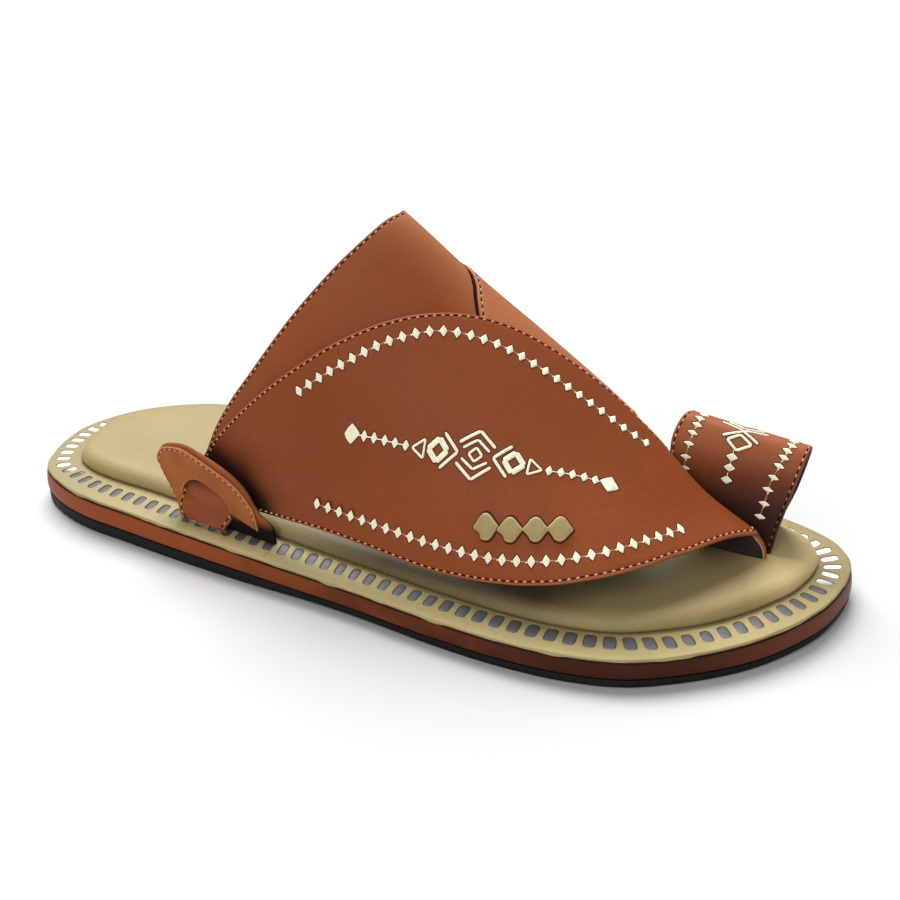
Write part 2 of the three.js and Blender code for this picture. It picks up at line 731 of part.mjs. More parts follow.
// Side loop standing on the rim beside the footbed
function sideLoop(side) {
  const edgeAt = side < 0 ? lateralEdgeAt : medialEdgeAt;
  const start = SIDE_LOOP_OUTLINE[0].x;
  const end = SIDE_LOOP_OUTLINE[SIDE_LOOP_OUTLINE.length - 1].x;
  const slope = (edgeAt(end) - edgeAt(start)) / (end - start);
  const stretch = Math.hypot(1, slope);
  const along = (x) => (x - start) * stretch;
  const shape = new THREE.Shape();
  const rows = SIDE_LOOP_OUTLINE.concat(SIDE_LOOP_ARCH);
  rows.forEach((row, i) => {
    const height = rimAt(row.x) + row.height;
    if (i === 0) {
      shape.moveTo(along(row.x), height);
    } else {
      shape.lineTo(along(row.x), height);
    }
  });
  const wall = new THREE.ExtrudeGeometry(shape, { depth: SIDE_LOOP_WALL, bevelEnabled: false, steps: 1 });
  const placed = new THREE.Matrix4();
  const runX = 1 / stretch;
  const runY = slope / stretch;
  const face = edgeAt(start) - side * SIDE_LOOP_FACE;
  const inwardX = side * runY;
  const inwardY = -side * runX;
  placed.set(runX, 0, inwardX, start, runY, 0, inwardY, face, 0, 1, 0, 0, 0, 0, 0, 1);
  wall.applyMatrix4(placed);
  return fromSolid(toSolid(indexed(wall)));
}

// Puffed diamond: rounded rhombus with a domed top, set just off the strap
function diamond(centre) {
  const spot = instepPoint(centre.x, centre.angle, true);
  const normal = instepNormal(centre.x, centre.angle, true);
  const ahead = instepPoint(centre.x + DIAMOND_ROW_STEP.x, centre.angle + DIAMOND_ROW_STEP.angle, true);
  const along = ahead.sub(spot);
  along.addScaledVector(normal, -along.dot(normal)).normalize();
  const up = new THREE.Vector3().crossVectors(normal, along);
  const base = spot.clone().addScaledVector(normal, LATERAL_WALL.outer + SEAT);
  const points = [];
  for (const level of DIAMOND_LEVELS) {
    for (let i = 0; i < DIAMOND_SIDES; i++) {
      const turn = (2 * Math.PI * i) / DIAMOND_SIDES;
      const wide = Math.abs(Math.cos(turn)) ** DIAMOND_ROUNDING;
      const tall = Math.abs(Math.sin(turn)) ** DIAMOND_ROUNDING;
      const reach = (wide + tall) ** (-1 / DIAMOND_ROUNDING);
      const right = Math.cos(turn) * reach * DIAMOND_HALF_WIDTH * level.size;
      const rise = Math.sin(turn) * reach * DIAMOND_HALF_HEIGHT * level.size;
      const point = base.clone().addScaledVector(along, right).addScaledVector(up, rise);
      points.push(point.addScaledVector(normal, level.height * DIAMOND_PUFF));
    }
  }
  const bottom = points.length;
  const crown = bottom + 1;
  points.push(base.clone());
  points.push(base.clone().addScaledVector(normal, DIAMOND_PUFF));
  const top = (DIAMOND_LEVELS.length - 1) * DIAMOND_SIDES;
  const triangles = [];
  for (let i = 0; i < DIAMOND_SIDES; i++) {
    const next = (i + 1) % DIAMOND_SIDES;
    triangles.push(bottom, next, i);
    for (let low = 0; low < top; low += DIAMOND_SIDES) {
      const high = low + DIAMOND_SIDES;
      triangles.push(low + i, low + next, high + next, low + i, high + next, high + i);
    }
    triangles.push(top + i, top + next, crown);
  }
  return facingOut(meshGeometry(points, triangles));
}

const sandal = new THREE.Group();

function addPiece(name, geometry, material) {
  const mesh = new THREE.Mesh(geometry, material);
  mesh.name = name;
  sandal.add(mesh);
}

addPiece('outsole', outsole(), RUBBER);
addPiece('midsole', midsole(), LEATHER);
addPiece('silver_strip', silverStrip(), SILVER);
addPiece('rim', rim(), TAN);
addPiece('footbed', footbed(), TAN);
addPiece('upper', upper(), LEATHER);
addPiece('toe_loop', toeLoop(), LEATHER);
addPiece('side_loop_lateral', sideLoop(-1), LEATHER);
addPiece('side_loop_medial', sideLoop(1), LEATHER);
DIAMOND_CENTRES.forEach((centre, i) => addPiece(`diamond_${i + 1}`, diamond(centre), TAN));

export default sandal;
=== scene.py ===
import math

import bmesh
import bpy
import numpy as np
from mathutils import Matrix, Vector


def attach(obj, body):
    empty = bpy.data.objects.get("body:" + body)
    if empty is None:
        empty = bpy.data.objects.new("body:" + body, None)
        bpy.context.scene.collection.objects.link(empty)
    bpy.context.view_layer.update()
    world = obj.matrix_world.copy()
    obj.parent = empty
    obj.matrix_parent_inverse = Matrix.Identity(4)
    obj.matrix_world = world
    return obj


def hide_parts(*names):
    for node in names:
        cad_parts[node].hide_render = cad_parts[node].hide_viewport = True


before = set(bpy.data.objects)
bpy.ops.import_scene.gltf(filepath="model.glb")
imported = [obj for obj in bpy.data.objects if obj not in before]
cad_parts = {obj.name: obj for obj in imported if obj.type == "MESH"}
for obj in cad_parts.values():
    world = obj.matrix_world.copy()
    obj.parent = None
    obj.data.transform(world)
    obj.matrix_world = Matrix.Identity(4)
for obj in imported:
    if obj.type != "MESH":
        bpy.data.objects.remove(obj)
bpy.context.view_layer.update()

# Outsole: one sheet of black rubber, thicker under the heel and slightly sprung at the toe.
# It is cut a little inside the rim, cemented under the rand, and ribbed across its underside.
MM = 0.001
SOLE_OUTLINE = np.array([  # x, lateral edge, medial edge
    (-139.3, 14.5, 14.5),
    (-136, -4.1, 26.5),
    (-130, -15.5, 37.7),
    (-120, -22.6, 47.6),
    (-105, -28.9, 55.4),
    (-85, -33.2, 58.4),
    (-60, -38, 57.7),
    (-30, -43.4, 53),
    (0, -48.7, 48.7),
    (30, -54.4, 48.7),
    (55, -57.9, 51.6),
    (75, -58.5, 53.2),
    (90, -55.4, 52.2),
    (105, -46.6, 48.5),
    (118, -32.3, 42.5),
    (128, -18.2, 36),
    (135, -4.1, 30),
    (139.3, 17.2, 17.2),
])
SOLE_LEVELS = np.array([  # x, ground line, top of the rubber, top of the rim
    (-140, 0.6, 4.9, 12.9),
    (-126, 0, 4.7, 12.8),
    (-80, 0, 4.5, 12.4),
    (-42, 0, 4.1, 11.6),
    (-10, 0.7, 3.5, 10.6),
    (12, 0.6, 3.2, 10.2),
    (40, 0, 2.9, 9.8),
    (70, 0, 2.8, 9.6),
    (100, 0, 2.8, 9.6),
    (118, 0.1, 2.8, 10),
    (130, 0.5, 3, 10.5),
    (140, 1.1, 3.4, 11.1),
])
LATERAL_CUT = np.array([  # x and edge of the lateral side and toe as cut, up to 1.5 mm off the last
    (-130, -15.5),
    (-120.4, -23.3),
    (-105.3, -30),
    (-85.2, -34.3),
    (-60.2, -39.1),
    (-30.1, -44),
    (0, -48.5),
    (30, -54.2),
    (55, -57.6),
    (75, -57.5),
    (90, -54.2),
    (104.2, -45.8),
    (118.8, -33),
    (129.2, -19.1),
    (136, -4.9),
    (138.9, 17),
    (133.9, 29.8),
])
HEEL_TRIM = 0.6
END_NARROWING = np.array([  # x, share of each inset that is left
    (-140, 0.88),
    (-118, 0.92),
    (-80, 1),
    (85, 1),
    (118, 0.88),
    (141, 0.84),
])
FLARE = np.array([  # x, mm that the rubber and the foot of the rand stand out
    (-140, 0.9),
    (-60, 0.5),
    (-10, 0.2),
    (40, 0),
    (95, 0.1),
    (118, 0.7),
    (141, 0.9),
])
SIDE_STATIONS = 260
FINE_SHARES = np.linspace(0, 1, 4001)


def column(table, index):
    """Smooth curve through one column of a table, without overshoot."""
    xs, values = table[:, 0], table[:, index]
    steps = np.diff(values) / np.diff(xs)
    product = steps[:-1] * steps[1:]
    turning = product <= 0
    total = np.where(turning, 1, steps[:-1] + steps[1:])
    slopes = np.concatenate([steps[:1], np.where(turning, 0, 2 * product / total), steps[-1:]])

    def at(x):
        x = np.clip(x, xs[0], xs[-1])
        i = np.clip(np.searchsorted(xs, x) - 1, 0, len(xs) - 2)
        span = xs[i + 1] - xs[i]
        t = (x - xs[i]) / span
        rise = t * t * (3 - 2 * t)
        bend = t * (1 - t) * ((1 - t) * slopes[i] - t * slopes[i + 1])
        return values[i] * (1 - rise) + values[i + 1] * rise + bend * span

    return at


def smooth_path(points, closed=False):
    """Curve through points, at a share from 0 to 1 that gives each span the same part."""
    points = np.asarray(points, float)
    if closed:
        around = np.concatenate([points[-1:], points, points[:2]])
    else:
        around = np.concatenate([2 * points[:1] - points[1:2], points, 2 * points[-1:] - points[-2:-1]])
    reach = np.sqrt(np.linalg.norm(np.diff(around, axis=0), axis=1))[:, None]
    a, b, c, d = around[:-3], around[1:-2], around[2:-1], around[3:]
    before, here, after = reach[:-2], reach[1:-1], reach[2:]
    leave = ((b - a) / before - (c - a) / (before + here) + (c - b) / here) * here
    arrive = ((c - b) / here - (d - b) / (here + after) + (d - c) / after) * here

    def at(share):
        spot = np.asarray(share, float) * len(b)
        i = np.clip(np.floor(spot).astype(int), 0, len(b) - 1)
        t = (spot - i)[..., None]
        rise = t * t * (3 - 2 * t)
        bend = t * (1 - t) * ((1 - t) * leave[i] - t * arrive[i])
        return b[i] * (1 - rise) + c[i] * rise + bend

    return at


def even_path(points, closed=False):
    """The same curve, walked at an even pace."""
    at = smooth_path(points, closed)
    strides = np.linalg.norm(np.diff(at(FINE_SHARES), axis=0), axis=1)
    lengths = np.concatenate([[0], np.cumsum(strides)])
    return lambda share: at(np.interp(np.asarray(share) * lengths[-1], lengths, FINE_SHARES))


ground_at = column(SOLE_LEVELS, 1)
rubber_at = column(SOLE_LEVELS, 2)
rim_at = column(SOLE_LEVELS, 3)
narrowing_at = column(END_NARROWING, 1)
flare_at = column(FLARE, 1)
heel_cut = SOLE_OUTLINE[:2, [0, 1]] + (HEEL_TRIM, 0)
medial_cut = SOLE_OUTLINE[-3:0:-1][:, [0, 2]]
sole_edge = even_path(np.concatenate([heel_cut, LATERAL_CUT, medial_cut]), closed=True)


def sole_spot(share, inset):
    """Place on the sole seen from above: heel, lateral side, toe and medial side, inset from the edge."""
    share = np.asarray(share, float)
    near = 2e-4
    ahead = sole_edge((share + near) % 1) - sole_edge((share - near) % 1)
    ahead /= np.linalg.norm(ahead, axis=-1, keepdims=True)
    inward = np.stack([-ahead[..., 1], ahead[..., 0]], -1)
    edge = sole_edge(share % 1)
    return edge + inward * (np.asarray(inset, float) * narrowing_at(edge[..., 0]))[..., None]


TOE_SHARE = FINE_SHARES[np.argmax(sole_edge(FINE_SHARES)[:, 0])]
STATIONS = np.concatenate([
    np.linspace(0, TOE_SHARE, SIDE_STATIONS, endpoint=False),
    np.linspace(TOE_SHARE, 1, SIDE_STATIONS, endpoint=False),
])


def sole_band(section):
    """Band round the sole: a column for each station, a row for each inset and height of its section."""
    rows = []
    for inset, height in section:
        spot = sole_spot(STATIONS, np.broadcast_to(inset, STATIONS.shape))
        rows.append(np.column_stack([spot, height(spot[:, 0])]))
    return np.stack(rows, 1)


def sole_fill(ring, across):
    """Rungs from the lateral to the medial side of a ring, heel to toe."""
    half = len(ring) // 2
    lateral = ring[: half + 1]
    medial = np.concatenate([ring[:1], ring[: half - 1: -1]])
    share = np.linspace(0, 1, across)[None, :, None]
    return lateral[:, None] * (1 - share) + medial[:, None] * share


def grid_faces(columns, rows, start=0, closed=False):
    """Four-cornered faces of a grid whose points are numbered column after column."""
    i = np.arange(columns if closed else columns - 1)[:, None]
    j = np.arange(rows - 1)[None, :]
    a = start + i * rows + j
    b = start + ((i + 1) % columns) * rows + j
    return np.stack([a, b, b + 1, a + 1], -1).reshape(-1, 4)


def join_grids(grids):
    """Points and faces of several grids, each given with whether its columns close into a ring."""
    points, faces, start = [], [], 0
    for grid, closed in grids:
        points.append(grid.reshape(-1, 3))
        faces.append(grid_faces(grid.shape[0], grid.shape[1], start, closed))
        start += grid.shape[0] * grid.shape[1]
    return np.concatenate(points), np.concatenate(faces)


def make_piece(name, points, faces, finishes, picks=None, traits=None, crisp=60):
    """Mesh piece from points in mm: picks gives each face its finish, traits are kept at each point.

    Points that fall together become one, and edges that bend by more than crisp degrees stay sharp.
    """
    microns = np.round(points * 1000).astype(np.int64)
    _, first, merged = np.unique(microns, axis=0, return_index=True, return_inverse=True)
    kept_faces, kept_picks = [], []
    for i, face in enumerate(merged.reshape(-1)[faces].tolist()):
        corners = list(dict.fromkeys(face))
        if len(corners) > 2:
            kept_faces.append(corners)
            kept_picks.append(0 if picks is None else int(picks[i]))
    mesh = bpy.data.meshes.new(name)
    mesh.from_pydata((points[first] * MM).tolist(), [], kept_faces)
    for material in finishes:
        mesh.materials.append(material)
    mesh.polygons.foreach_set("material_index", kept_picks)
    mesh.polygons.foreach_set("use_smooth", [True] * len(kept_faces))
    for trait, values in (traits or {}).items():
        layer = mesh.attributes.new(trait, "FLOAT", "POINT")
        layer.data.foreach_set("value", np.asarray(values, np.float32).reshape(-1)[first])
    shell = bmesh.new()
    shell.from_mesh(mesh)
    bmesh.ops.recalc_face_normals(shell, faces=shell.faces)
    shell.to_mesh(mesh)
    shell.free()
    mesh.set_sharp_from_angle(angle=math.radians(crisp))
    piece = bpy.data.objects.new(name, mesh)
    bpy.context.collection.objects.link(piece)
    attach(piece, "root")
    return piece


class Dye:
    """One value, colour or vector of a finish, and the sums that finishes are made of."""

    def __init__(self, socket):
        self.socket = socket

    def node(self, kind, settings=None, inputs=None, output=0):
        tree = self.socket.id_data
        made = tree.nodes.new(kind)
        for key, value in (settings or {}).items():
            setattr(made, key, value)
        for key, value in (inputs or {}).items():
            if isinstance(value, Dye):
                tree.links.new(value.socket, made.inputs[key])
            else:
                made.inputs[key].default_value = value
        return Dye(made.outputs[output])

    def sum(self, operation, first, second):
        return self.node("ShaderNodeMath", {"operation": operation}, {0: first, 1: second})

    def __add__(self, other):
        return self.sum("ADD", self, other)

    def __radd__(self, other):
        return self.sum("ADD", other, self)

    def __sub__(self, other):
        return self.sum("SUBTRACT", self, other)

    def __rsub__(self, other):
        return self.sum("SUBTRACT", other, self)

    def __mul__(self, other):
        return self.sum("MULTIPLY", self, other)

    def __rmul__(self, other):
        return self.sum("MULTIPLY", other, self)

    def step(self, low, high):
        """Goes softly from 0 at low to 1 at high."""
        settings = {"interpolation_type": "SMOOTHSTEP"}
        return self.node("ShaderNodeMapRange", settings, {0: self, 1: low, 2: high})

    def blend(self, first, second):
        """Colour that goes from first to second as this value goes from 0 to 1."""
        return self.node("ShaderNodeMix", {"data_type": "RGBA"}, {0: self, 6: first, 7: second}, 2)

    def noise(self, scale, detail=3, roughness=0.5):
        inputs = {"Vector": self, "Scale": scale, "Detail": detail, "Roughness": roughness}
        return self.node("ShaderNodeTexNoise", {}, inputs, "Fac")

    def cells(self, scale):
        """Distance to the middle of the nearest pebble of a skin's grain."""
        inputs = {"Vector": self, "Scale": scale, "Smoothness": 0.6}
        return self.node("ShaderNodeTexVoronoi", {"feature": "SMOOTH_F1"}, inputs, "Distance")

    def part(self, axis):
        return self.node("ShaderNodeSeparateXYZ", {}, {0: self}, axis)

    def trait(self, name):
        """Value kept at the points of a piece."""
        return self.node("ShaderNodeAttribute", {"attribute_name": name}, {}, "Fac")

    def bump(self, depth):
        """Normal of a surface that this height raises by up to depth, in metres."""
        return self.node("ShaderNodeBump", {}, {"Strength": 1.0, "Distance": depth, "Height": self}, "Normal")


def tint(red, green, blue):
    """Colour from a swatch's 0 to 255 readings."""
    shades = [value / 255 for value in (red, green, blue)]
    return tuple(s / 12.92 if s <= 0.04045 else ((s + 0.055) / 1.055) ** 2.4 for s in shades) + (1.0,)


def new_finish(name, **constants):
    """Empty finish: its material, its shader and the place on the object, from which the rest is made."""
    material = bpy.data.materials.new(name)
    material.use_nodes = True
    tree = material.node_tree
    tree.nodes.clear()
    shader = tree.nodes.new("ShaderNodeBsdfPrincipled")
    surface = tree.nodes.new("ShaderNodeOutputMaterial")
    tree.links.new(shader.outputs[0], surface.inputs[0])
    for key, value in constants.items():
        shader.inputs[key.replace("_", " ")].default_value = value
    return material, shader, Dye(tree.nodes.new("ShaderNodeTexCoord").outputs["Object"])


def feed(shader, **dyes):
    """Links dyes to the shader's sockets of the same names."""
    for key, dye in dyes.items():
        shader.id_data.links.new(dye.socket, shader.inputs[key.replace("_", " ")])


RUBBER = tint(11, 11, 13)
RUBBER_DUSTY = tint(21, 21, 23)
rubber, shader, place = new_finish("black_rubber", Specular_IOR_Level=0.2)
dust = place.noise(140, 4, 0.6)
ribs = place.node("ShaderNodeTexWave", {"bands_direction": "X"},
                  {"Vector": place, "Scale": 95.0, "Distortion": 0.8, "Detail": 0.0}, "Fac")
underside = 1 - place.part("Z").step(0.0004, 0.0022)
feed(shader,
     Base_Color=dust.step(0.45, 0.8).blend(RUBBER, RUBBER_DUSTY),
     Roughness=0.5 + 0.2 * dust,
     Normal=(ribs * underside * 0.7 + place.noise(900, 2) * 0.12).bump(0.0008))

flare = flare_at(sole_edge(STATIONS)[:, 0])
band = sole_band([
    (2.3 - flare, ground_at),
    (1.6 - flare, lambda x: ground_at(x) + 0.1),
    (1.05 - flare, lambda x: ground_at(x) + 0.35),
    (0.7 - flare, lambda x: ground_at(x) + 0.8),
    (0.6 - flare, lambda x: ground_at(x) * 0.6 + rubber_at(x) * 0.4),
    (0.6 - flare, lambda x: rubber_at(x) - 0.3),
    (0.7 - flare, lambda x: rubber_at(x) - 0.1),
    (0.95 - flare, rubber_at),
])
tread, covered = sole_fill(band[:, 0], 24), sole_fill(band[:, -1], 2)
points, faces = join_grids([(band, True), (tread, False), (covered, False)])
outsole = make_piece("outsole_rubber", points, faces, [rubber])
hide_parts("outsole")

# Rand: a band of smooth brown leather wrapped round the edge of a fibre midsole.
# It is cemented between the rubber and the rim, and bulges a little between them.
SEAT = 0.3
RAND_TOP = 1.12
RAND_HEEL = tint(139, 68, 32)
RAND_TOE_SHADE = tint(64, 31, 20)
RAND_TIP_LIT = tint(108, 54, 34)
RAND_SHADE_UNDER_RIM = tint(31, 12, 8)
rand_leather, shader, place = new_finish("rand_leather", Specular_IOR_Level=0.08)
mottle = place.noise(70, 4)
# Painted shade: the rand is darker towards the toe and just under the rim's lip, and painted light makes its
# tip paler again.
rand_shade_and_light = (place.part("X") * 6 + 0.6 * mottle).step(-0.15, 0.8).blend(RAND_HEEL, RAND_TOE_SHADE)
rand_shade_and_light = place.part("X").step(0.1, 0.14).blend(rand_shade_and_light, RAND_TIP_LIT)
feed(shader,
     Base_Color=place.trait("level").step(0.88, 0.97).blend(rand_shade_and_light, RAND_SHADE_UNDER_RIM),
     Roughness=0.36 + 0.12 * mottle,
     Normal=(0.5 * place.cells(1300) + 0.5 * place.noise(260, 3)).bump(0.00008))


def waver(share, *waves):
    """Small handmade unevenness round the sole: how many waves, how high, and where they start."""
    return sum(height * np.sin(2 * np.pi * (count * share + start)) for count, height, start in waves)


def rand_level(share):
    """Height that is a share of the way from the rubber up to the rim."""
    return lambda x: (rubber_at(x) + SEAT) * (1 - share) + (rim_at(x) - RAND_TOP) * share


pull = waver(STATIONS, (17, 0.05, 0.1), (29, 0.04, 0.6), (53, 0.025, 0.3))
RAND_SECTION = [  # inset from the sole edge, share of the pull, share of the way up
    (3.0, 0, 0),
    (0.9, 0, 0),
    (0.55, 0, 0.03),
    (0.3, 1, 0.1),
    (0.1, 1, 0.28),
    (0.02, 1, 0.5),
    (0.06, 1, 0.72),
    (0.18, 1, 0.87),
    (0.34, 0.6, 0.96),
    (0.5, 0, 1),
    (0.52, 0, 0.91),
    (3.0, 0, 0.9),
]
band = sole_band([
    (inset + pull * shadows - flare * (1 - 0.7 * up), rand_level(up)) for inset, shadows, up in RAND_SECTION
])
floor_fill = sole_fill(band[:, 0], 2)
points, faces = join_grids([(band, True), (floor_fill, False)])
level = np.tile([up for _, _, up in RAND_SECTION], len(STATIONS))
level = np.concatenate([level, np.zeros(floor_fill[..., 0].size)])
rand = make_piece("rand", points, faces, [rand_leather], traits={"level": level})
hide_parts("midsole")

# Silver strip: a foil-coated strip laid in a groove of the midsole, under the rim's row of 120 windows.
# When rim and midsole are pressed together, it swells up into each window, almost level with the leather.
RIM_THICKNESS = 1.4
STRIP_OUTER_INSET = 3.2
STRIP_INNER_INSET = 11.6
STRIP_THICKNESS = 0.9
WINDOW_COUNT = 120
WINDOW_SHAPES = np.array([  # x, inset, half width, half length, lean of the inner end towards the heel
    (-140, 4.5, 1.5, 2.8, 0),
    (-129, 6.3, 1.62, 2.6, 0.05),
    (-120, 7.9, 1.6, 2.9, 0.15),
    (-102, 8.3, 1.55, 2.9, 0.25),
    (-80, 8.1, 1.55, 3, 0.26),
    (-50, 8.8, 1.6, 3.3, 0.3),
    (-23, 8.8, 1.6, 3.4, 0.32),
    (6, 8.2, 1.46, 3.2, 0.27),
    (26, 8.3, 1.55, 3.1, 0.16),
    (46, 8.6, 1.75, 3.4, 0.14),
    (66, 8.5, 1.75, 3.4, 0.05),
    (88, 8.7, 1.8, 3.4, 0),
    (97, 8.3, 1.8, 3.3, -0.05),
    (104, 7.7, 1.7, 3, -0.1),
    (111, 7.8, 1.8, 3.4, -0.2),
    (119, 8.2, 1.9, 3.5, -0.29),
    (130, 8, 1.8, 3.4, -0.27),
    (136, 7.1, 1.65, 2.9, -0.12),
    (139, 6.5, 1.65, 2.5, 0),
])
WINDOW_CROWDING = 0.045  # share by which the windows are wider apart on the lateral side
WINDOW_ROUNDING = 3.6
SWELLING_STEPS = [  # mm that the window's outline grows, mm under the rim's face
    (-0.04, RIM_THICKNESS + SEAT),
    (-0.04, 0.4),
    (-0.1, 0.27),
    (-0.25, 0.2),
    (-0.6, 0.15),
    (-1.1, 0.13),
    (-9, 0.12),
]
window_inset_at, window_width_at, window_length_at, window_lean_at = (
    column(WINDOW_SHAPES, k) for k in range(1, 5)
)
FOIL = tint(92, 92, 96)
FOIL_WORN = tint(80, 79, 83)
FOIL_HEEL_END = tint(68, 65, 64)
FOIL_PAINTED_REFLECTION = tint(250, 250, 250)
foil, shader, place = new_finish("silver_foil", Metallic=0.1)
# Painted reflection: the windows on the far, medial side and round the ends are painted near white, as if
# mirroring the pale surroundings.
near_side = place.part("X") * 0.082 - place.part("Y") - 0.0053
crinkle = place.noise(500, 4, 0.6)
silver = crinkle.step(0.3, 0.7).blend(FOIL, FOIL_WORN)
# Darker and warmer towards the heel end.
silver = place.part("X").step(-0.09, -0.02).blend(FOIL_HEEL_END, silver)
feed(shader,
     Base_Color=near_side.step(-0.002, 0.002).blend(FOIL_PAINTED_REFLECTION, silver),
     Roughness=0.4 + 0.2 * crinkle,
     Normal=crinkle.bump(0.0001))

ring = sole_spot(FINE_SHARES, window_inset_at(sole_edge(FINE_SHARES)[:, 0]))
ring_strides = np.linalg.norm(np.diff(ring, axis=0), axis=1)
ring_strides *= 1 + WINDOW_CROWDING * np.clip((ring[1:, 1] - 10) / 25, -1, 1)
ring_counts = np.concatenate([[0], np.cumsum(ring_strides)]) / ring_strides.sum() * WINDOW_COUNT
borders = np.interp(np.arange(WINDOW_COUNT + 1), ring_counts, FINE_SHARES)
middles = np.interp(np.arange(WINDOW_COUNT) + 0.5, ring_counts, FINE_SHARES)


def window_ring(middle, turn, grow, drop):
    """Outline of one window, grown by some mm and dropped under the rim's face."""
    corner = np.abs(np.cos(turn)) ** WINDOW_ROUNDING + np.abs(np.sin(turn)) ** WINDOW_ROUNDING
    reach = corner ** (-1 / WINDOW_ROUNDING)
    inset = window_inset_at(sole_edge(middle)[0])
    centre = sole_spot(middle, inset)
    inward = sole_spot(middle, inset + 1) - centre
    along = np.array([inward[1], -inward[0]])
    leaning = inward - np.sign(along[0]) * window_lean_at(centre[0]) * along
    half_width = max(window_width_at(centre[0]) + grow, 0.01)
    half_length = max(window_length_at(centre[0]) + grow, 0.01)
    spot = (centre + np.outer(np.cos(turn) * reach * half_width, along)
            + np.outer(np.sin(turn) * reach * half_length, leaning))
    return np.column_stack([spot, rim_at(spot[:, 0]) - drop])


def strip_level(drop):
    """Height some mm under the top of the strip."""
    return lambda x: rim_at(x) - RIM_THICKNESS - SEAT - drop


band = sole_band([
    (STRIP_OUTER_INSET, strip_level(STRIP_THICKNESS)),
    (STRIP_OUTER_INSET, strip_level(0.15)),
    (STRIP_OUTER_INSET + 0.2, strip_level(0)),
    (STRIP_INNER_INSET - 0.2, strip_level(0)),
    (STRIP_INNER_INSET, strip_level(0.15)),
    (STRIP_INNER_INSET, strip_level(STRIP_THICKNESS)),
])
turn = np.linspace(0, 2 * np.pi, 32, endpoint=False)
swellings = [
    (np.stack([window_ring(middle, turn, grow, drop) for grow, drop in SWELLING_STEPS], 1), True)
    for middle in middles
]
points, faces = join_grids([(band, True)] + swellings)
strip = make_piece("silver_foil_strip", points, faces, [foil])
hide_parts("silver_strip")

# Rim: a flat ring of tan leather lying on the rand, its cut edge a little uneven.
# The row of round-cornered windows is punched through it all the way round.
RIM_INNER_INSET = 13.4
RIM_EDGE_INSET = 0.6
PAD_TRIM = np.array([  # x, mm that the lateral side of the footbed pad stays further in
    (-140, 1.2),
    (-121, 1.8),
    (-102, 3),
    (-82, 3.2),
    (-50, 2.4),
    (-23, 1.5),
    (6, 0.5),
    (60, 0.6),
    (86, 1),
    (103, 1.6),
    (119, 1.8),
    (130, 1.5),
    (136, 0.6),
    (139, 0),
])
HOLE_STEPS = [  # mm that the window's outline grows, share of the way to it from the cell's border, drop
    (0, 0, 0),
    (0.9, 0.55, 0),
    (0.4, 1, 0),
    (0.18, 1, 0.02),
    (0.05, 1, 0.07),
    (0, 1, 0.16),
    (0, 1, RIM_THICKNESS),
    (0, 0, RIM_THICKNESS),
]
CUT_EDGE_STEPS = [  # inset, share of the uneven cut, drop, share of the droop
    (RIM_EDGE_INSET, 0, 0, 0),
    (0.3, 0.6, 0.05, 0),
    (0.08, 1, 0.2, 0),
    (0, 1, 0.42, 0.3),
    (0, 1, 0.66, 0.8),
    (0.1, 1, 0.86, 1),
    (0.32, 0.6, 0.95, 1),
    (RIM_EDGE_INSET, 0, 1, 0),
    (RIM_EDGE_INSET, 0, RIM_THICKNESS, 0),
]
AWAY_FROM_WINDOWS = 2.0
RIM_TAN = tint(158, 142, 93)
RIM_TAN_LIGHT = tint(168, 153, 105)
TAN_DARKENED = tint(105, 90, 58)
TAN_STRAP_SHADOW = tint(46, 39, 25)
TAN_TOE_LIGHT = tint(214, 192, 138)
pad_trim_at = column(PAD_TRIM, 1)


def pad_trim(share):
    """How much further in the pad stays; nothing on the medial side."""
    edge = sole_edge(np.asarray(share) % 1)
    return pad_trim_at(edge[:, 0]) * np.clip((30 - edge[:, 1]) / 30, 0, 1)


def tan_leather(name, colour, light, darkened):
    """Tan leather with a fine grain; darkened gives how far it is made darker at a place, with painted shade
    in creases and window walls.

    The strap's shadow is painted on it, and painted light makes it paler at the toe.
    """
    material, shader, place = new_finish(name, Specular_IOR_Level=0.3)
    mottle = place.noise(45, 4)
    speck = place.noise(700, 2)
    clean = (0.65 * mottle + 0.35 * speck).step(0.3, 0.72).blend(colour, light)
    clean = place.trait("bleached").blend(clean, TAN_TOE_LIGHT)
    feed(shader,
         Base_Color=place.trait("stained").blend(darkened(place).blend(clean, TAN_DARKENED), TAN_STRAP_SHADOW),
         Roughness=0.46 + 0.14 * mottle,
         Normal=(0.6 * place.cells(1150) + 0.4 * place.noise(350, 3)).bump(0.00013))
    return material


def rim_darkening(place):
    """Painted shade in the windows' walls and edges, and darker at the heel end and on the medial side of the
    toe.
    """
    in_windows = 1 - place.trait("window").step(0.0, 0.16)
    at_heel = 1 - place.part("X").step(-0.13, -0.05)
    at_toe = place.part("X").step(0.1, 0.13) * place.part("Y").step(-0.01, 0.02)
    return 0.6 * in_windows + 0.3 * at_heel + 0.4 * at_toe


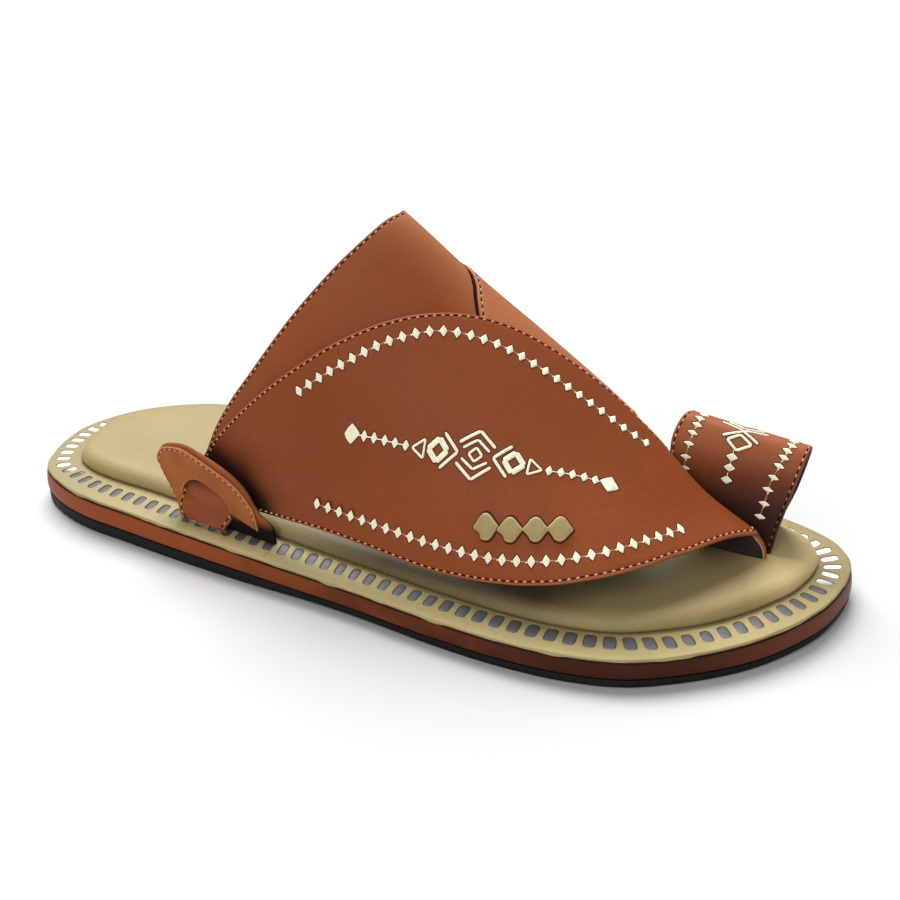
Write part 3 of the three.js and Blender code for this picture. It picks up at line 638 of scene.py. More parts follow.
rim_leather = tan_leather("rim_leather", RIM_TAN, RIM_TAN_LIGHT, rim_darkening)
SIDE_POINTS = 13
END_POINTS = 6
side = np.linspace(0, 1, SIDE_POINTS)
end = np.linspace(0, 1, END_POINTS)[1:-1]
cell_along = np.concatenate([np.zeros(SIDE_POINTS), end, np.ones(SIDE_POINTS), end[::-1]])
cell_across = np.concatenate([side, np.ones(len(end)), side[::-1], np.zeros(len(end))])
turn = np.arctan2((cell_across - 0.5) * 2, (cell_along - 0.5) * 2)
rim_points, rim_window = [], []
for first_border, last_border, middle in zip(borders[:-1], borders[1:], middles):
    cell_shares = first_border + (last_border - first_border) * cell_along
    cell_width = RIM_INNER_INSET - RIM_EDGE_INSET + pad_trim(cell_shares)
    flat = sole_spot(cell_shares, RIM_EDGE_INSET + cell_width * cell_across)
    rows, windows = [], []
    for grow, share, drop in HOLE_STEPS:
        outer = np.column_stack([flat, rim_at(flat[:, 0]) - drop])
        rows.append(outer * (1 - share) + window_ring(middle, turn, grow, drop) * share)
        windows.append(np.full(len(turn), AWAY_FROM_WINDOWS if share < 1 else grow))
    rim_points.append(np.stack(rows, 1))
    rim_window.append(np.stack(windows, 1).reshape(-1))
rim_window = np.concatenate(rim_window)
edge_shares = np.concatenate([
    a + (b - a) * np.linspace(0, 1, END_POINTS)[:-1] for a, b in zip(borders[:-1], borders[1:])
])
cut = 0.16 + waver(edge_shares, (31, 0.06, 0.2), (47, 0.05, 0.7), (83, 0.04, 0.4))
droop = waver(edge_shares, (19, 0.18, 0.5), (37, 0.2, 0.1), (71, 0.12, 0.8))
edge_rows = []
for inset, wavy, drop, hang in CUT_EDGE_STEPS:
    spot = sole_spot(edge_shares, inset + wavy * cut)
    edge_rows.append(np.column_stack([spot, rim_at(spot[:, 0]) - drop - hang * droop]))
edge_band = np.stack(edge_rows, 1)
points, faces = join_grids([(cell, True) for cell in rim_points] + [(edge_band, True)])
window = np.concatenate([rim_window, np.full(edge_band[..., 0].size, AWAY_FROM_WINDOWS)])
rim = make_piece("rim_ring", points, faces, [rim_leather], traits={"window": window},
                 crisp=75)
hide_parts("rim")

# Footbed: a foam pad wrapped in tan leather, glued down inside the rim.
# Its shoulder rolls down to a crease on the rim, and the foam dips a little under heel and ball.
FOOTBED_SHOULDER = [  # inset from the sole edge, height above the rim
    (12.1, 0.3),
    (11.6, 0.8),
    (11.75, 2.2),
    (12.8, 3.85),
    (14.9, 5),
    (18.4, 5.45),
]
PAD_WALL_INSET = 13.8
PAD_RUNGS = 41
PAD_CROWN = 0.7
PAD_DIPS = [  # depth, x, y, half length, half width: heel and ball
    (1.1, -92, 13, 30, 24),
    (0.9, 66, -4, 34, 30),
]
STRAP_LINE = [(-50, -23.5), (-20, -29.5), (0, -33.9), (20, -37.2), (40, -40.2), (60, -41.2), (78, -39)]
shoulder = even_path(FOOTBED_SHOULDER)(np.linspace(0, 1, 18))
FOOTBED_TAN = tint(152, 135, 88)
FOOTBED_TAN_LIGHT = tint(160, 143, 97)
# Painted shade where the pad's shoulder meets the rim.
footbed_leather = tan_leather("footbed_leather", FOOTBED_TAN, FOOTBED_TAN_LIGHT,
                              lambda place: 0.7 * (1 - place.trait("lift").step(0.3, 1.9)))
trim = pad_trim(STATIONS)
pad_section = [(PAD_WALL_INSET, -RIM_THICKNESS), (PAD_WALL_INSET, SEAT), *shoulder]
band = sole_band([
    (inset + trim, lambda x, height=height: rim_at(x) + height) for inset, height in pad_section
])
top = sole_fill(band[:, -1], PAD_RUNGS)
lengthwise, crosswise = (np.sin(np.pi * np.linspace(0, 1, count)) for count in top.shape[:2])
swell = np.full(top.shape[:2], PAD_CROWN)
for depth, x, y, half_length, half_width in PAD_DIPS:
    swell -= depth * np.exp(-((top[..., 0] - x) / half_length) ** 2 - ((top[..., 1] - y) / half_width) ** 2)
top[..., 2] += lengthwise[:, None] ** 0.3 * crosswise * swell
points, faces = join_grids([(band, True), (top, False), (sole_fill(band[:, 0], 2), False)])
lift = points[:, 2] - rim_at(points[:, 0])
strap_line = even_path(STRAP_LINE)(np.linspace(0, 1, 160))  # along the strap's lower edge, where its shadow is painted on the pad
away = np.linalg.norm(points[:, None, :2] - strap_line[None], axis=2).min(1)
under = points[:, 1] > np.interp(points[:, 0], strap_line[:, 0], strap_line[:, 1])
ramp = np.clip((points[:, 0] + 45) / 55, 0, 1) * np.clip((78 - points[:, 0]) / 18, 0, 1)
# Painted shadow of the lateral strap, darkest along and just under its lower edge.
stained = 0.88 * ramp * np.exp(-(away / np.where(under, 14, 4.5)) ** 2)
# Painted light on the toe end of the pad.
bleached = 0.75 * np.clip((points[:, 0] + 0.35 * points[:, 1] - 108) / 14, 0, 1)
footbed = make_piece("footbed_pad", points, faces, [footbed_leather],
                     traits={"lift": lift, "stained": stained, "bleached": bleached})
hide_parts("footbed")

# Side loops: on each side two layers of soft napped leather, stitched together round the outside.
# They stand on the rim and hold the tail of a side strap in their arch.
SIDE_LOOP_OUTLINE = [  # x along the foot, height above the rim
    (-66.8, 0.3),
    (-67.8, 4.5),
    (-70.4, 10),
    (-73.4, 14.6),
    (-75, 18.5),
    (-72.6, 22.4),
    (-68, 24.1),
    (-63.4, 24.5),
    (-57, 23.2),
    (-50.5, 21.3),
    (-44, 18.6),
    (-39, 14.9),
    (-35.8, 10.4),
    (-34.4, 5.5),
    (-33.6, 0.3),
]
SIDE_LOOP_ARCH = [
    (-63.8, 0.3),
    (-64.6, 6),
    (-63.9, 10.6),
    (-61.5, 13.2),
    (-58, 14.3),
    (-53.5, 13.3),
    (-49, 11.4),
    (-46, 9),
    (-44.2, 4.5),
    (-43.2, 0.3),
]
SIDE_LOOP_FACE = 7.8
LOOP_MIDDLE = np.array([-53.0, 10.0, 20.0])
EDGE_STEPS = np.array([0, 0.07, 0.17, 0.32, 0.5, 0.7, 0.88, 1.05, 1.28, 1.7, 2.6, 3.9])  # in from an edge
TURNED_ROWS = 4
STITCH_ROW = 7
SEAM_INSET = EDGE_STEPS[STITCH_ROW]


def leather_sheet(spot, middle, columns, rows, walls, lip=0.1, groove=0.22, relief=None):
    """Cut leather between two long edges: rounded edges, and a groove where the stitches run.

    spot(u, v) is the shape it follows, middle a point inside that, and walls how far off it its faces lie.
    """
    us = np.linspace(0, 1, columns)
    fine = np.linspace(0, 1, 301)
    lines = spot(us[:, None], fine[None, :])
    strides = np.linalg.norm(np.diff(lines, axis=1), axis=2)
    lengths = np.concatenate([np.zeros((columns, 1)), np.cumsum(strides, axis=1)], 1)
    width = lengths[:, -1:]

    def slant(edge, inside):
        along = np.gradient(lines[:, edge], axis=0)
        across = lines[:, inside] - lines[:, edge]
        shared = (along * across).sum(1) / np.linalg.norm(along, axis=1) / np.linalg.norm(across, axis=1)
        return np.sqrt(np.clip(1 - shared ** 2, 0.16, 1))[:, None]

    low_slant, high_slant = slant(0, 3), slant(-1, -4)
    low = np.minimum(EDGE_STEPS / low_slant, width * 0.46 * EDGE_STEPS / EDGE_STEPS[-1])
    high = np.minimum(EDGE_STEPS / high_slant, width * 0.46 * EDGE_STEPS / EDGE_STEPS[-1])
    between = np.linspace(0, 1, rows + 2)[1:-1]
    body = low[:, -1:] + (width - high[:, -1:] - low[:, -1:]) * between
    wanted = np.concatenate([low, body, width - high[:, ::-1]], 1)
    vs = np.stack([np.interp(wanted[i], lengths[i], fine) for i in range(columns)])
    grid_u = np.broadcast_to(us[:, None], vs.shape)
    base = spot(grid_u, vs)
    near = 0.002
    along = spot(np.minimum(grid_u + near, 1), vs) - spot(np.maximum(grid_u - near, 0), vs)
    across = spot(grid_u, np.minimum(vs + near, 1)) - spot(grid_u, np.maximum(vs - near, 0))
    normal = np.cross(along, across)
    normal /= np.linalg.norm(normal, axis=-1, keepdims=True)
    normal *= np.sign(((base - middle) * normal).sum())
    inset = np.minimum(wanted * low_slant, (width - wanted) * high_slant)
    half = (walls[1] - walls[0]) / 2
    roll = half * (1 - np.sqrt(1 - np.clip(1 - inset / half, 0, 1) ** 2))
    relieved = 0 if relief is None else relief(base)
    seam = lip * np.exp(-((inset - 0.46) / 0.3) ** 2) - groove * np.exp(-((inset - SEAM_INSET) / 0.28) ** 2)
    outer = base + normal * (walls[1] - roll + seam * (inset > 0) + relieved)[..., None]
    inner = base + normal * (walls[0] + roll + relieved)[..., None]
    return {"outer": outer, "inner": inner, "normal": normal, "inset": inset}


def sheet_piece(name, sheet, finishes, tucked=None, rubbed=None, turned=TURNED_ROWS):
    """Piece from a leather sheet: first finish outside and round the turned edges, second on the lining.

    From the points and their insets, the first function gives how far the leather is darkened by painted
    shade, and the second how far it is made paler by painted light.
    """
    outer, inner = sheet["outer"], sheet["inner"]
    ends = [np.stack([outer[i], inner[i]]) for i in (0, -1)]
    points, faces = join_grids([(outer, False), (inner, False)] + [(strip, False) for strip in ends])
    count = (outer.shape[0] - 1) * (outer.shape[1] - 1)
    picks = np.zeros(len(faces), int)
    picks[count:2 * count].reshape(outer.shape[0] - 1, -1)[:, turned:outer.shape[1] - 1 - turned] = 1
    inset = sheet["inset"]
    insets = np.concatenate([inset.reshape(-1)] * 2 + [np.tile(inset[i], 2) for i in (0, -1)])
    traits = {"inset": insets}
    if tucked:
        traits["tucked"] = tucked(points, insets)
    if rubbed:
        traits["rubbed"] = rubbed(points, insets)
    return make_piece(name, points, faces, finishes, picks, traits)


def stitch_line(lines, pitch=2.5, length=1.15, radius=0.27, hole=(0.72, 0.33), sunk=0.06):
    """Thread along lines of places and normals: a short bow a stitch, and a needle hole between stitches,
    drawn as a flat dark disc of painted shade.
    """
    thread, holes = [], []
    bow = np.linspace(-1, 1, 7)
    turn = np.linspace(0, 2 * np.pi, 6, endpoint=False)
    for line, normal in lines:
        lengths = np.concatenate([[0], np.cumsum(np.linalg.norm(np.diff(line, axis=0), axis=1))])
        count = int(lengths[-1] / pitch)
        start = (lengths[-1] - count * pitch) / 2

        def walk(at):
            spot = np.stack([np.interp(at, lengths, line[:, k]) for k in range(3)], -1)
            up = np.stack([np.interp(at, lengths, normal[:, k]) for k in range(3)], -1)
            ahead = np.stack([np.interp(at + 0.3, lengths, line[:, k]) for k in range(3)], -1)
            back = np.stack([np.interp(at - 0.3, lengths, line[:, k]) for k in range(3)], -1)
            aim = ahead - back
            aim /= np.linalg.norm(aim, axis=-1, keepdims=True)
            beside = np.cross(up, aim)
            return spot, up, aim, beside / np.linalg.norm(beside, axis=-1, keepdims=True)

        centres = start + pitch * (np.arange(count) + 0.5)
        spot, up, aim, beside = walk(centres[:, None] + bow * length / 2)
        thick = radius * np.sqrt(1.02 - bow ** 2)[None, :, None, None]
        rise = (radius * 1.1 * (1 - bow ** 2) - sunk)[None, :, None]
        around = np.cos(turn)[:, None] * beside[:, :, None] + np.sin(turn)[:, None] * up[:, :, None]
        thread.append((spot + up * rise)[:, :, None] + thick * around)
        spot, up, aim, beside = walk(start + pitch * np.arange(count + 1))
        middle = (spot + up * 0.1)[:, None]
        disc = (middle + hole[0] * np.cos(turn)[:, None] * aim[:, None]
                + hole[1] * np.sin(turn)[:, None] * beside[:, None])
        holes.append(np.stack([disc, np.broadcast_to(middle, disc.shape)], 2))
    grids = [(ring.transpose(1, 0, 2), True) for rings in thread for ring in rings]
    hole_grids = [(disc, True) for discs in holes for disc in discs]
    points, faces = join_grids(grids + hole_grids)
    picks = np.ones(len(faces), int)
    picks[: len(grids) * len(turn) * (len(bow) - 1)] = 0
    return points, faces, picks


def edge_line(sheet, row, first=0, last=None):
    """The line of one row of a sheet's outer face, for stitches."""
    return sheet["outer"][first:last, row], sheet["normal"][first:last, row]


THREAD_PAINTED_SHADE = tint(84, 40, 22)
SEAM_THREAD = tint(238, 172, 130)
SEAM_THREAD_SHADE = tint(205, 128, 88)
NEEDLE_HOLE_SHADE = tint(32, 8, 3)
NEEDLE_HOLE_SHADE_RIM = tint(50, 14, 6)
NAP = tint(165, 97, 52)
NAP_DARK = tint(146, 82, 42)
NAP_EDGE_HIGHLIGHT = tint(203, 141, 90)
NAP_BACK = tint(146, 84, 44)
NAP_BACK_DARK = tint(124, 67, 35)
FOOT_SHADOW = tint(20, 12, 11)


def thread_finish(name, colour, shade, scale=2600):
    """Twisted thread: fine strands, paler where they bulge, and darkened by painted shade where a piece asks
    for it.
    """
    material, shader, place = new_finish(name, Sheen_Weight=0.25, Sheen_Roughness=0.4)
    strands = place.noise(scale, 2, 0.6)
    feed(shader,
         Base_Color=place.trait("tucked").blend(strands.step(0.3, 0.7).blend(shade, colour), THREAD_PAINTED_SHADE),
         Roughness=0.55 + 0.15 * strands,
         Normal=strands.bump(0.00008))
    return material


seam_thread = thread_finish("seam_thread", SEAM_THREAD, SEAM_THREAD_SHADE)
needle_hole, shader, place = new_finish("needle_hole", Roughness=0.9, Specular_IOR_Level=0.03)
feed(shader, Base_Color=place.noise(1500).blend(NEEDLE_HOLE_SHADE, NEEDLE_HOLE_SHADE_RIM))
napped, shader, place = new_finish("napped_leather", Specular_IOR_Level=0.15)
brushed = place.noise(110, 5, 0.65)
fluff = place.noise(1500, 3, 0.7)
# Painted highlight: a pale line along the rolled edge.
rubbed = place.trait("inset").step(0.12, 0.18) * (1 - place.trait("inset").step(0.3, 0.42))
body = (0.7 * brushed + 0.3 * fluff).step(0.32, 0.68).blend(NAP_DARK, NAP)
feed(shader,
     Base_Color=(0.8 * rubbed).blend(body, NAP_EDGE_HIGHLIGHT),
     Roughness=0.62 + 0.2 * fluff,
     Normal=(0.6 * fluff + 0.4 * brushed).bump(0.00014))
napped_back, shader, place = new_finish("napped_leather_back", Specular_IOR_Level=0.15)
brushed = place.noise(130, 5, 0.65)
fluff = place.noise(1500, 3, 0.7)
# Painted shadow: the back layer is near black at its foot.
foot_shadow = 1 - place.part("Z").step(0.015, 0.0195)
body = (0.6 * brushed + 0.4 * fluff).step(0.3, 0.7).blend(NAP_BACK_DARK, NAP_BACK)
feed(shader,
     Base_Color=foot_shadow.blend(body, FOOT_SHADOW),
     Roughness=0.66 + 0.2 * fluff,
     Normal=fluff.bump(0.0002))
lateral_edge_at = column(SOLE_OUTLINE, 1)
medial_edge_at = column(SOLE_OUTLINE, 2)


def loop_layer(side, trim, outline, arch):
    """Face of a side loop's layer, trimmed at its outer edge; side is -1 lateral and 1 medial."""
    loop_outline, loop_arch = even_path(outline), even_path(arch)
    edge_at = lateral_edge_at if side < 0 else medial_edge_at
    start, finish = SIDE_LOOP_OUTLINE[0][0], SIDE_LOOP_OUTLINE[-1][0]
    slope = (edge_at(finish) - edge_at(start)) / (finish - start)
    stretch = math.hypot(1, slope)
    run = np.array([1, slope]) / stretch
    corner = np.array([start, edge_at(start) - side * SIDE_LOOP_FACE])

    def spot(u, v):
        u, v = np.broadcast_arrays(u, v)
        outer, inner = loop_outline(u), loop_arch(u)
        width = np.linalg.norm(inner - outer, axis=-1)
        wider = np.clip((u - 0.35) / 0.35, 0, 1)
        cut = np.minimum(trim * (1 + 2 * wider) * np.sin(np.pi * np.clip(u * 1.1, 0, 1)) ** 0.5 / width, 0.4)
        share = (cut + (1 - cut) * v)[..., None]
        flat = outer * (1 - share) + inner * share
        ground = corner + (flat[..., :1] - start) * stretch * run
        return np.concatenate([ground, (rim_at(flat[..., 0]) + flat[..., 1])[..., None]], -1)

    return spot


FRONT_LEG_OUTLINE_END = (-34.2, 3.4)
FRONT_LEG_ARCH_END = (-45, 6.4)
# The back layer's foot reaches out past the front layer as a dark patch of painted shadow behind the loop.
BACK_LEG_FOOT = [(-33.4, 8), (-29.6, 5.8), (-28.4, 0.3)]
BACK_ARCH_FOOT = [(-46.4, 5.2), (-48.6, 0.3)]
front_outline = SIDE_LOOP_OUTLINE[:-1] + [FRONT_LEG_OUTLINE_END]
front_arch = SIDE_LOOP_ARCH[:-2] + [FRONT_LEG_ARCH_END]
back_outline = SIDE_LOOP_OUTLINE[:-2] + BACK_LEG_FOOT
back_arch = SIDE_LOOP_ARCH[:-2] + BACK_ARCH_FOOT
loop_threads = []
for side, name in ((-1, "lateral"), (1, "medial")):
    front_face = loop_layer(side, 0.6, front_outline, front_arch)
    back_face = loop_layer(side, 0, back_outline, back_arch)
    front = leather_sheet(front_face, LOOP_MIDDLE, 150, 14, (-0.8, 0), groove=0.12)
    back = leather_sheet(back_face, LOOP_MIDDLE, 150, 14, (-2.6, -0.78), lip=0, groove=0)
    layer = sheet_piece(f"side_loop_{name}_front", front, [napped, napped_back])
    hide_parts(f"side_loop_{name}")
    sheet_piece(f"side_loop_{name}_back", back, [napped_back, napped_back])
    loop_threads.append(edge_line(front, STITCH_ROW, 10, -4))
points, faces, picks = stitch_line(loop_threads, pitch=2.3, length=1.0, radius=0.2, hole=(0.3, 0.16))
make_piece("side_loop_stitches", points, faces, [seam_thread, needle_hole], picks)

# Saddle: the wide piece of smooth brown leather over the instep, lined with grey-mauve split.
# It is cut to a soft peak at the back, and that edge is turned and stitched, with painted shade on the turned
# edge.
# The two side straps cross over it.
INSTEP_SECTIONS = np.array([  # x, ridge y, ridge z, foot inside the sole edge, foot height
    (-80, 10.6, 161, 16.2, 18.2),
    (-60, 10.6, 147, 17.3, 17.9),
    (-40, 10.6, 133, 15.7, 17.2),
    (-20, 10.6, 118.5, 12.6, 16.5),
    (0, 10.6, 104, 11.8, 16),
    (20, 10.6, 88.2, 12.2, 15.8),
    (40, 10.6, 73.9, 12.6, 15.5),
    (60, 10.4, 58.9, 12.4, 15.3),
    (80, 7.4, 43, 12.2, 15.2),
    (95, 4, 31.2, 11.7, 15.3),
    (110, 1.6, 23.2, 9.4, 15.4),
    (120, 0.8, 17.5, 6, 15.8),
])
SECTION_POWER = 1.38
RIDGE_SOFTNESS = 0.25
SLOT_DROP = 1.2
SLOT_REAR_X = 86
FOLD_START_X = 72
SADDLE_REAR_EDGE = [  # x along the foot, angle from the ridge, lateral side negative
    (-64.5, -83),
    (-59.8, -78.5),
    (-55.5, -73),
    (-49, -66.8),
    (-41.2, -60.2),
    (-31, -50.5),
    (-19.8, -37.8),
    (-10.8, -24),
    (-6.6, -13.5),
    (-3.8, 0),
]
SADDLE_FRONT_EDGE = [
    (-41, -86),
    (-12, -66),
    (8, -50),
    (22, -33),
    (30, -16),
    (33, 0),
]
ridge_y_at, ridge_z_at, foot_inset_at, foot_z_at = (column(INSTEP_SECTIONS, k) for k in range(1, 5))


def instep(x, angle, folds):
    """Place on the last under the straps; folds turns the medial half down into the toe slot."""
    turn = np.radians(np.abs(angle))
    sine = np.sin(turn)
    softened = (sine ** 2 + RIDGE_SOFTNESS ** 2) / (1 + RIDGE_SOFTNESS ** 2)
    across = sine * softened ** ((SECTION_POWER - 1) / 2)
    up = np.maximum(np.cos(turn), 0) ** SECTION_POWER
    ridge_y = ridge_y_at(x)
    medial_foot = medial_edge_at(x) - foot_inset_at(x)
    if folds:
        t = np.clip((x - FOLD_START_X) / (SLOT_REAR_X - FOLD_START_X), 0, 1)
        share = t * t * (3 - 2 * t)
        medial_foot = medial_foot * (1 - share) + (ridge_y + SLOT_DROP) * share
    foot = np.where(angle < 0, lateral_edge_at(x) + foot_inset_at(x), medial_foot)
    y = ridge_y + (foot - ridge_y) * across
    z = foot_z_at(x) + (ridge_z_at(x) - foot_z_at(x)) * up
    return np.stack([x, y, z], -1)


def strap_face(lower_edge, upper_edge, folds=False):
    """Face between two edges drawn on the instep."""
    lower, upper = even_path(lower_edge), even_path(upper_edge)

    def spot(u, v):
        u, v = np.broadcast_arrays(u, v)
        place = lower(u) * (1 - v[..., None]) + upper(u) * v[..., None]
        return instep(place[..., 0], place[..., 1], folds)

    return spot


def crease(points, start, finish, width, depth):
    """Soft trough along a line between two places on the instep, or a ridge where depth is negative."""
    a, b = (instep(np.array(x), np.array(angle), False) for x, angle in (start, finish))
    share = np.clip(((points - a) @ (b - a)) / ((b - a) @ (b - a)), 0, 1)
    away = np.linalg.norm(points - a - share[..., None] * (b - a), axis=-1)
    return -depth * np.exp(-((away / width) ** 2))


HIDE = tint(137, 67, 27)
HIDE_DARK = tint(126, 60, 23)
HIDE_LIT = tint(184, 114, 73)
HIDE_SEAM = tint(67, 27, 13)
HIDE_LIP_HIGHLIGHT = tint(167, 97, 65)
HIDE_PAINTED_SHADE = tint(28, 11, 7)
SPLIT = tint(66, 50, 45)
SPLIT_DARK = tint(44, 33, 30)
SPLIT_EDGE = tint(194, 167, 150)
brown_leather, shader, place = new_finish("brown_leather", Specular_IOR_Level=0.2)
mottle = place.noise(26, 4, 0.5)
speck = place.noise(620, 3)
inset = place.trait("inset")
# Painted highlight: a pale band on the rolled lip of each turned edge.
lip_highlight = inset.step(0.05, 0.15) * (1 - inset.step(0.4, 0.75))
seamed = (inset.step(SEAM_INSET - 0.4, SEAM_INSET - 0.15)
          * (1 - inset.step(SEAM_INSET + 0.15, SEAM_INSET + 0.45)))
hide = (0.7 * mottle + 0.3 * speck).step(0.32, 0.68).blend(HIDE_DARK, HIDE)
hide = (0.75 * lip_highlight).blend((0.4 * seamed).blend(hide, HIDE_SEAM), HIDE_LIP_HIGHLIGHT)
# Painted light makes the leather paler where a piece asks for it, and painted shade makes it near black.
feed(shader,
     Base_Color=place.trait("tucked").blend(place.trait("rubbed").blend(hide, HIDE_LIT), HIDE_PAINTED_SHADE),
     Roughness=0.5 + 0.1 * mottle,
     Normal=(0.5 * place.cells(1500) + 0.5 * place.noise(300, 4)).bump(0.00006))
lining, shader, place = new_finish("split_lining", Specular_IOR_Level=0.15)
mottle = place.noise(90, 4)
fluff = place.noise(1400, 3, 0.7)
pale_edge = 1 - place.trait("inset").step(0.7, 0.85)
split = (0.6 * mottle + 0.4 * fluff).step(0.3, 0.7).blend(SPLIT_DARK, SPLIT)
feed(shader,
     Base_Color=(0.8 * pale_edge).blend(split, SPLIT_EDGE),
     Roughness=0.7 + 0.2 * fluff,
     Normal=fluff.bump(0.00018))


def both_sides(edge):
    """An edge drawn up to the ridge, and its mirror image down the other side."""
    return edge + [(x, -angle) for x, angle in edge[-2::-1]]


def shade_on_turned_edge(points, insets):
    """Painted shade on the turned edge, up to the stitches."""
    return 0.75 * np.clip(1.2 - insets / 0.65, 0, 1)


def lit_on_ridge(points, insets):
    """Painted light: paler over the ridge and on the medial side, and a little along the edges."""
    return 0.12 * np.exp(-(insets / 8) ** 2) + 0.7 * np.clip((points[:, 1] + 7) / 17, 0, 1) ** 1.7


INSTEP_MIDDLE = np.array([20.0, 5.0, 16.0])
saddle_face = strap_face(both_sides(SADDLE_FRONT_EDGE), both_sides(SADDLE_REAR_EDGE))
saddle = leather_sheet(saddle_face, INSTEP_MIDDLE, 260, 44, (0, 1.5))
saddle_piece = sheet_piece("saddle", saddle, [brown_leather, lining], shade_on_turned_edge,
                           lit_on_ridge)
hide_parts("upper")
points, faces, picks = stitch_line([edge_line(saddle, -1 - STITCH_ROW, 4, -4)])
make_piece("saddle_stitches", points, faces, [seam_thread, needle_hole], picks)

# Medial strap: the plain strap from the big-toe side, of the same lined leather, laid over the saddle.
# Both of its edges are turned and stitched, and its upper end is caught under the lateral strap.
# Where it lifts off the saddle near the ridge, a dark strip paints the shadow in the gap under its edge.
MEDIAL_UPPER_EDGE = [
    (-64, 82),
    (-58.2, 78),
    (-47.2, 69.6),
    (-34.2, 61.4),
    (-21.5, 52.8),
    (-6.8, 41),
    (5.5, 26.5),
    (13.5, 12),
    (18.2, 1.6),
    (21.2, -5),
    (23.6, -12),
    (27, -18.5),
    (33, -22.5),
    (42, -23.2),
    (52, -19.5),
    (61, -14),
    (69, -8),
]
MEDIAL_LOWER_EDGE = [
    (-42, 88.3),
    (-33.8, 87),
    (-22.8, 85.2),
    (-7.8, 83.8),
    (7, 82.8),
    (18.8, 81.4),
    (35.2, 79),
    (47, 74),
    (56, 63),
    (63, 45),
    (69, 22),
    (72, 6),
]
# Painted light: how much paler the whole medial strap is made.
MEDIAL_LIT = 0.72
GAP_EDGE = MEDIAL_UPPER_EDGE[6:13]
GAP_WIDTH = 1.25
GAP_HEIGHT = 1.6
GAP_STATIONS = np.linspace(0, 1, 120)
GAP_SHADOW = tint(24, 13, 10)
GAP_SHADOW_SPECK = tint(40, 22, 17)


def both_edges(sheet, first, last):
    """The lines along both long edges of a sheet, for stitches."""
    return [edge_line(sheet, row, first, last) for row in (STITCH_ROW, -1 - STITCH_ROW)]


def medial_creases(points):
    return (crease(points, (-40, 76), (-18, 66), 4.5, 0.7) + crease(points, (-34, 70), (-8, 60), 4, -0.4)
            + crease(points, (-20, 80), (4, 74), 4, 0.4))


medial = leather_sheet(strap_face(MEDIAL_LOWER_EDGE, MEDIAL_UPPER_EDGE), INSTEP_MIDDLE, 240, 60, (0.6, 2.2),
                       relief=medial_creases)
medial_piece = sheet_piece("medial_strap", medial, [brown_leather, lining],
                           rubbed=lambda points, insets: np.full(len(insets), MEDIAL_LIT))
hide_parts("upper")
gap_x, gap_angle = even_path(GAP_EDGE)(GAP_STATIONS).T
gap_line = instep(gap_x, gap_angle, False)
gap_ahead = np.gradient(gap_line, axis=0)
gap_slope = instep(gap_x, gap_angle + 0.5, False) - instep(gap_x, gap_angle - 0.5, False)
gap_up = np.cross(instep(gap_x + 0.5, gap_angle, False) - gap_line, gap_slope)
gap_up /= np.linalg.norm(gap_up, axis=1, keepdims=True)
gap_back = np.cross(gap_up, gap_ahead)
gap_back /= np.linalg.norm(gap_back, axis=1, keepdims=True)
gap_back *= -np.sign(gap_back[:, :1])
gap_reach = GAP_WIDTH * np.sin(np.pi * GAP_STATIONS) ** 0.4
gap = np.stack([
    gap_line + gap_back * (share * gap_reach)[:, None] + gap_up * GAP_HEIGHT for share in (-0.5, 0, 0.5, 1)
], 1)
# Painted shadow: a near-black strip in the gap.
gap_shadow, shader, place = new_finish("lining_edge", Specular_IOR_Level=0.1)
fluff = place.noise(1400, 3, 0.7)
feed(shader,
     Base_Color=fluff.step(0.3, 0.7).blend(GAP_SHADOW, GAP_SHADOW_SPECK),
     Roughness=0.8 + 0.15 * fluff,
     Normal=fluff.bump(0.00015))
points, faces = join_grids([(gap, False)])
make_piece("medial_strap_lining_edge", points, faces, [gap_shadow])
points, faces, picks = stitch_line(both_edges(medial, 4, -4))
make_piece("medial_strap_stitches", points, faces, [seam_thread, needle_hole], picks)

# Lateral strap: the broad embroidered strap, outermost of the three, of the same lined leather.
# At the front it crosses the ridge, folds down and goes into the toe slot.
# Both of its edges are turned and stitched.
LATERAL_UPPER_EDGE = [
    (-64, -82),
    (-58.2, -78),
    (-53.6, -74),
    (-47.2, -69.6),
    (-39.2, -64.4),
    (-31.5, -59.6),
    (-24.5, -55),
    (-18.5, -50.9),
    (-7.2, -43),
    (3.2, -35.2),
    (13, -27.2),
    (23, -19),
    (33.2, -11.8),
    (44.2, -5.8),
    (56, -0.8),
    (65, 2),
    (72.5, 4),
    (79, 9),
    (84.5, 24),
    (88.5, 50),
    (91, 86),
]
LATERAL_LOWER_EDGE = [
    (-42, -88.3),
    (-33.8, -87),
    (-22.8, -85.2),
    (-7.8, -83.8),
    (7, -83.8),
    (18.5, -84.4),
    (29.8, -84.6),
    (40.8, -83),
    (51, -80.5),
    (59.5, -77.6),
    (67.8, -73.5),
    (75.2, -68),
    (82, -61.8),
    (88.4, -54),
    (92.6, -47),
    (97, -40),
    (101, -31.5),
    (105.2, -20.8),
    (108.6, -10.5),
    (111.2, 0),
    (113.4, 18),
    (114.8, 46),
    (115.4, 86),
]
LATERAL_OUTER = 3.0
SHADE_BY_LOOP = ((-58, -78.3), (-34, -85))


def lateral_creases(points):
    return (crease(points, (-42, -77), (-18, -67), 4.5, 0.9) + crease(points, (-34, -70), (-8, -61), 4, -0.5)
            + crease(points, (-26, -80), (0, -75), 4, 0.5))


def shade_by_loop(points, insets):
    """Painted shade where the strap narrows into the side loop."""
    close, wide = (crease(points, *SHADE_BY_LOOP, width, -1) for width in (6, 11))
    return np.minimum(0.85 * close + 0.45 * wide, 0.95)


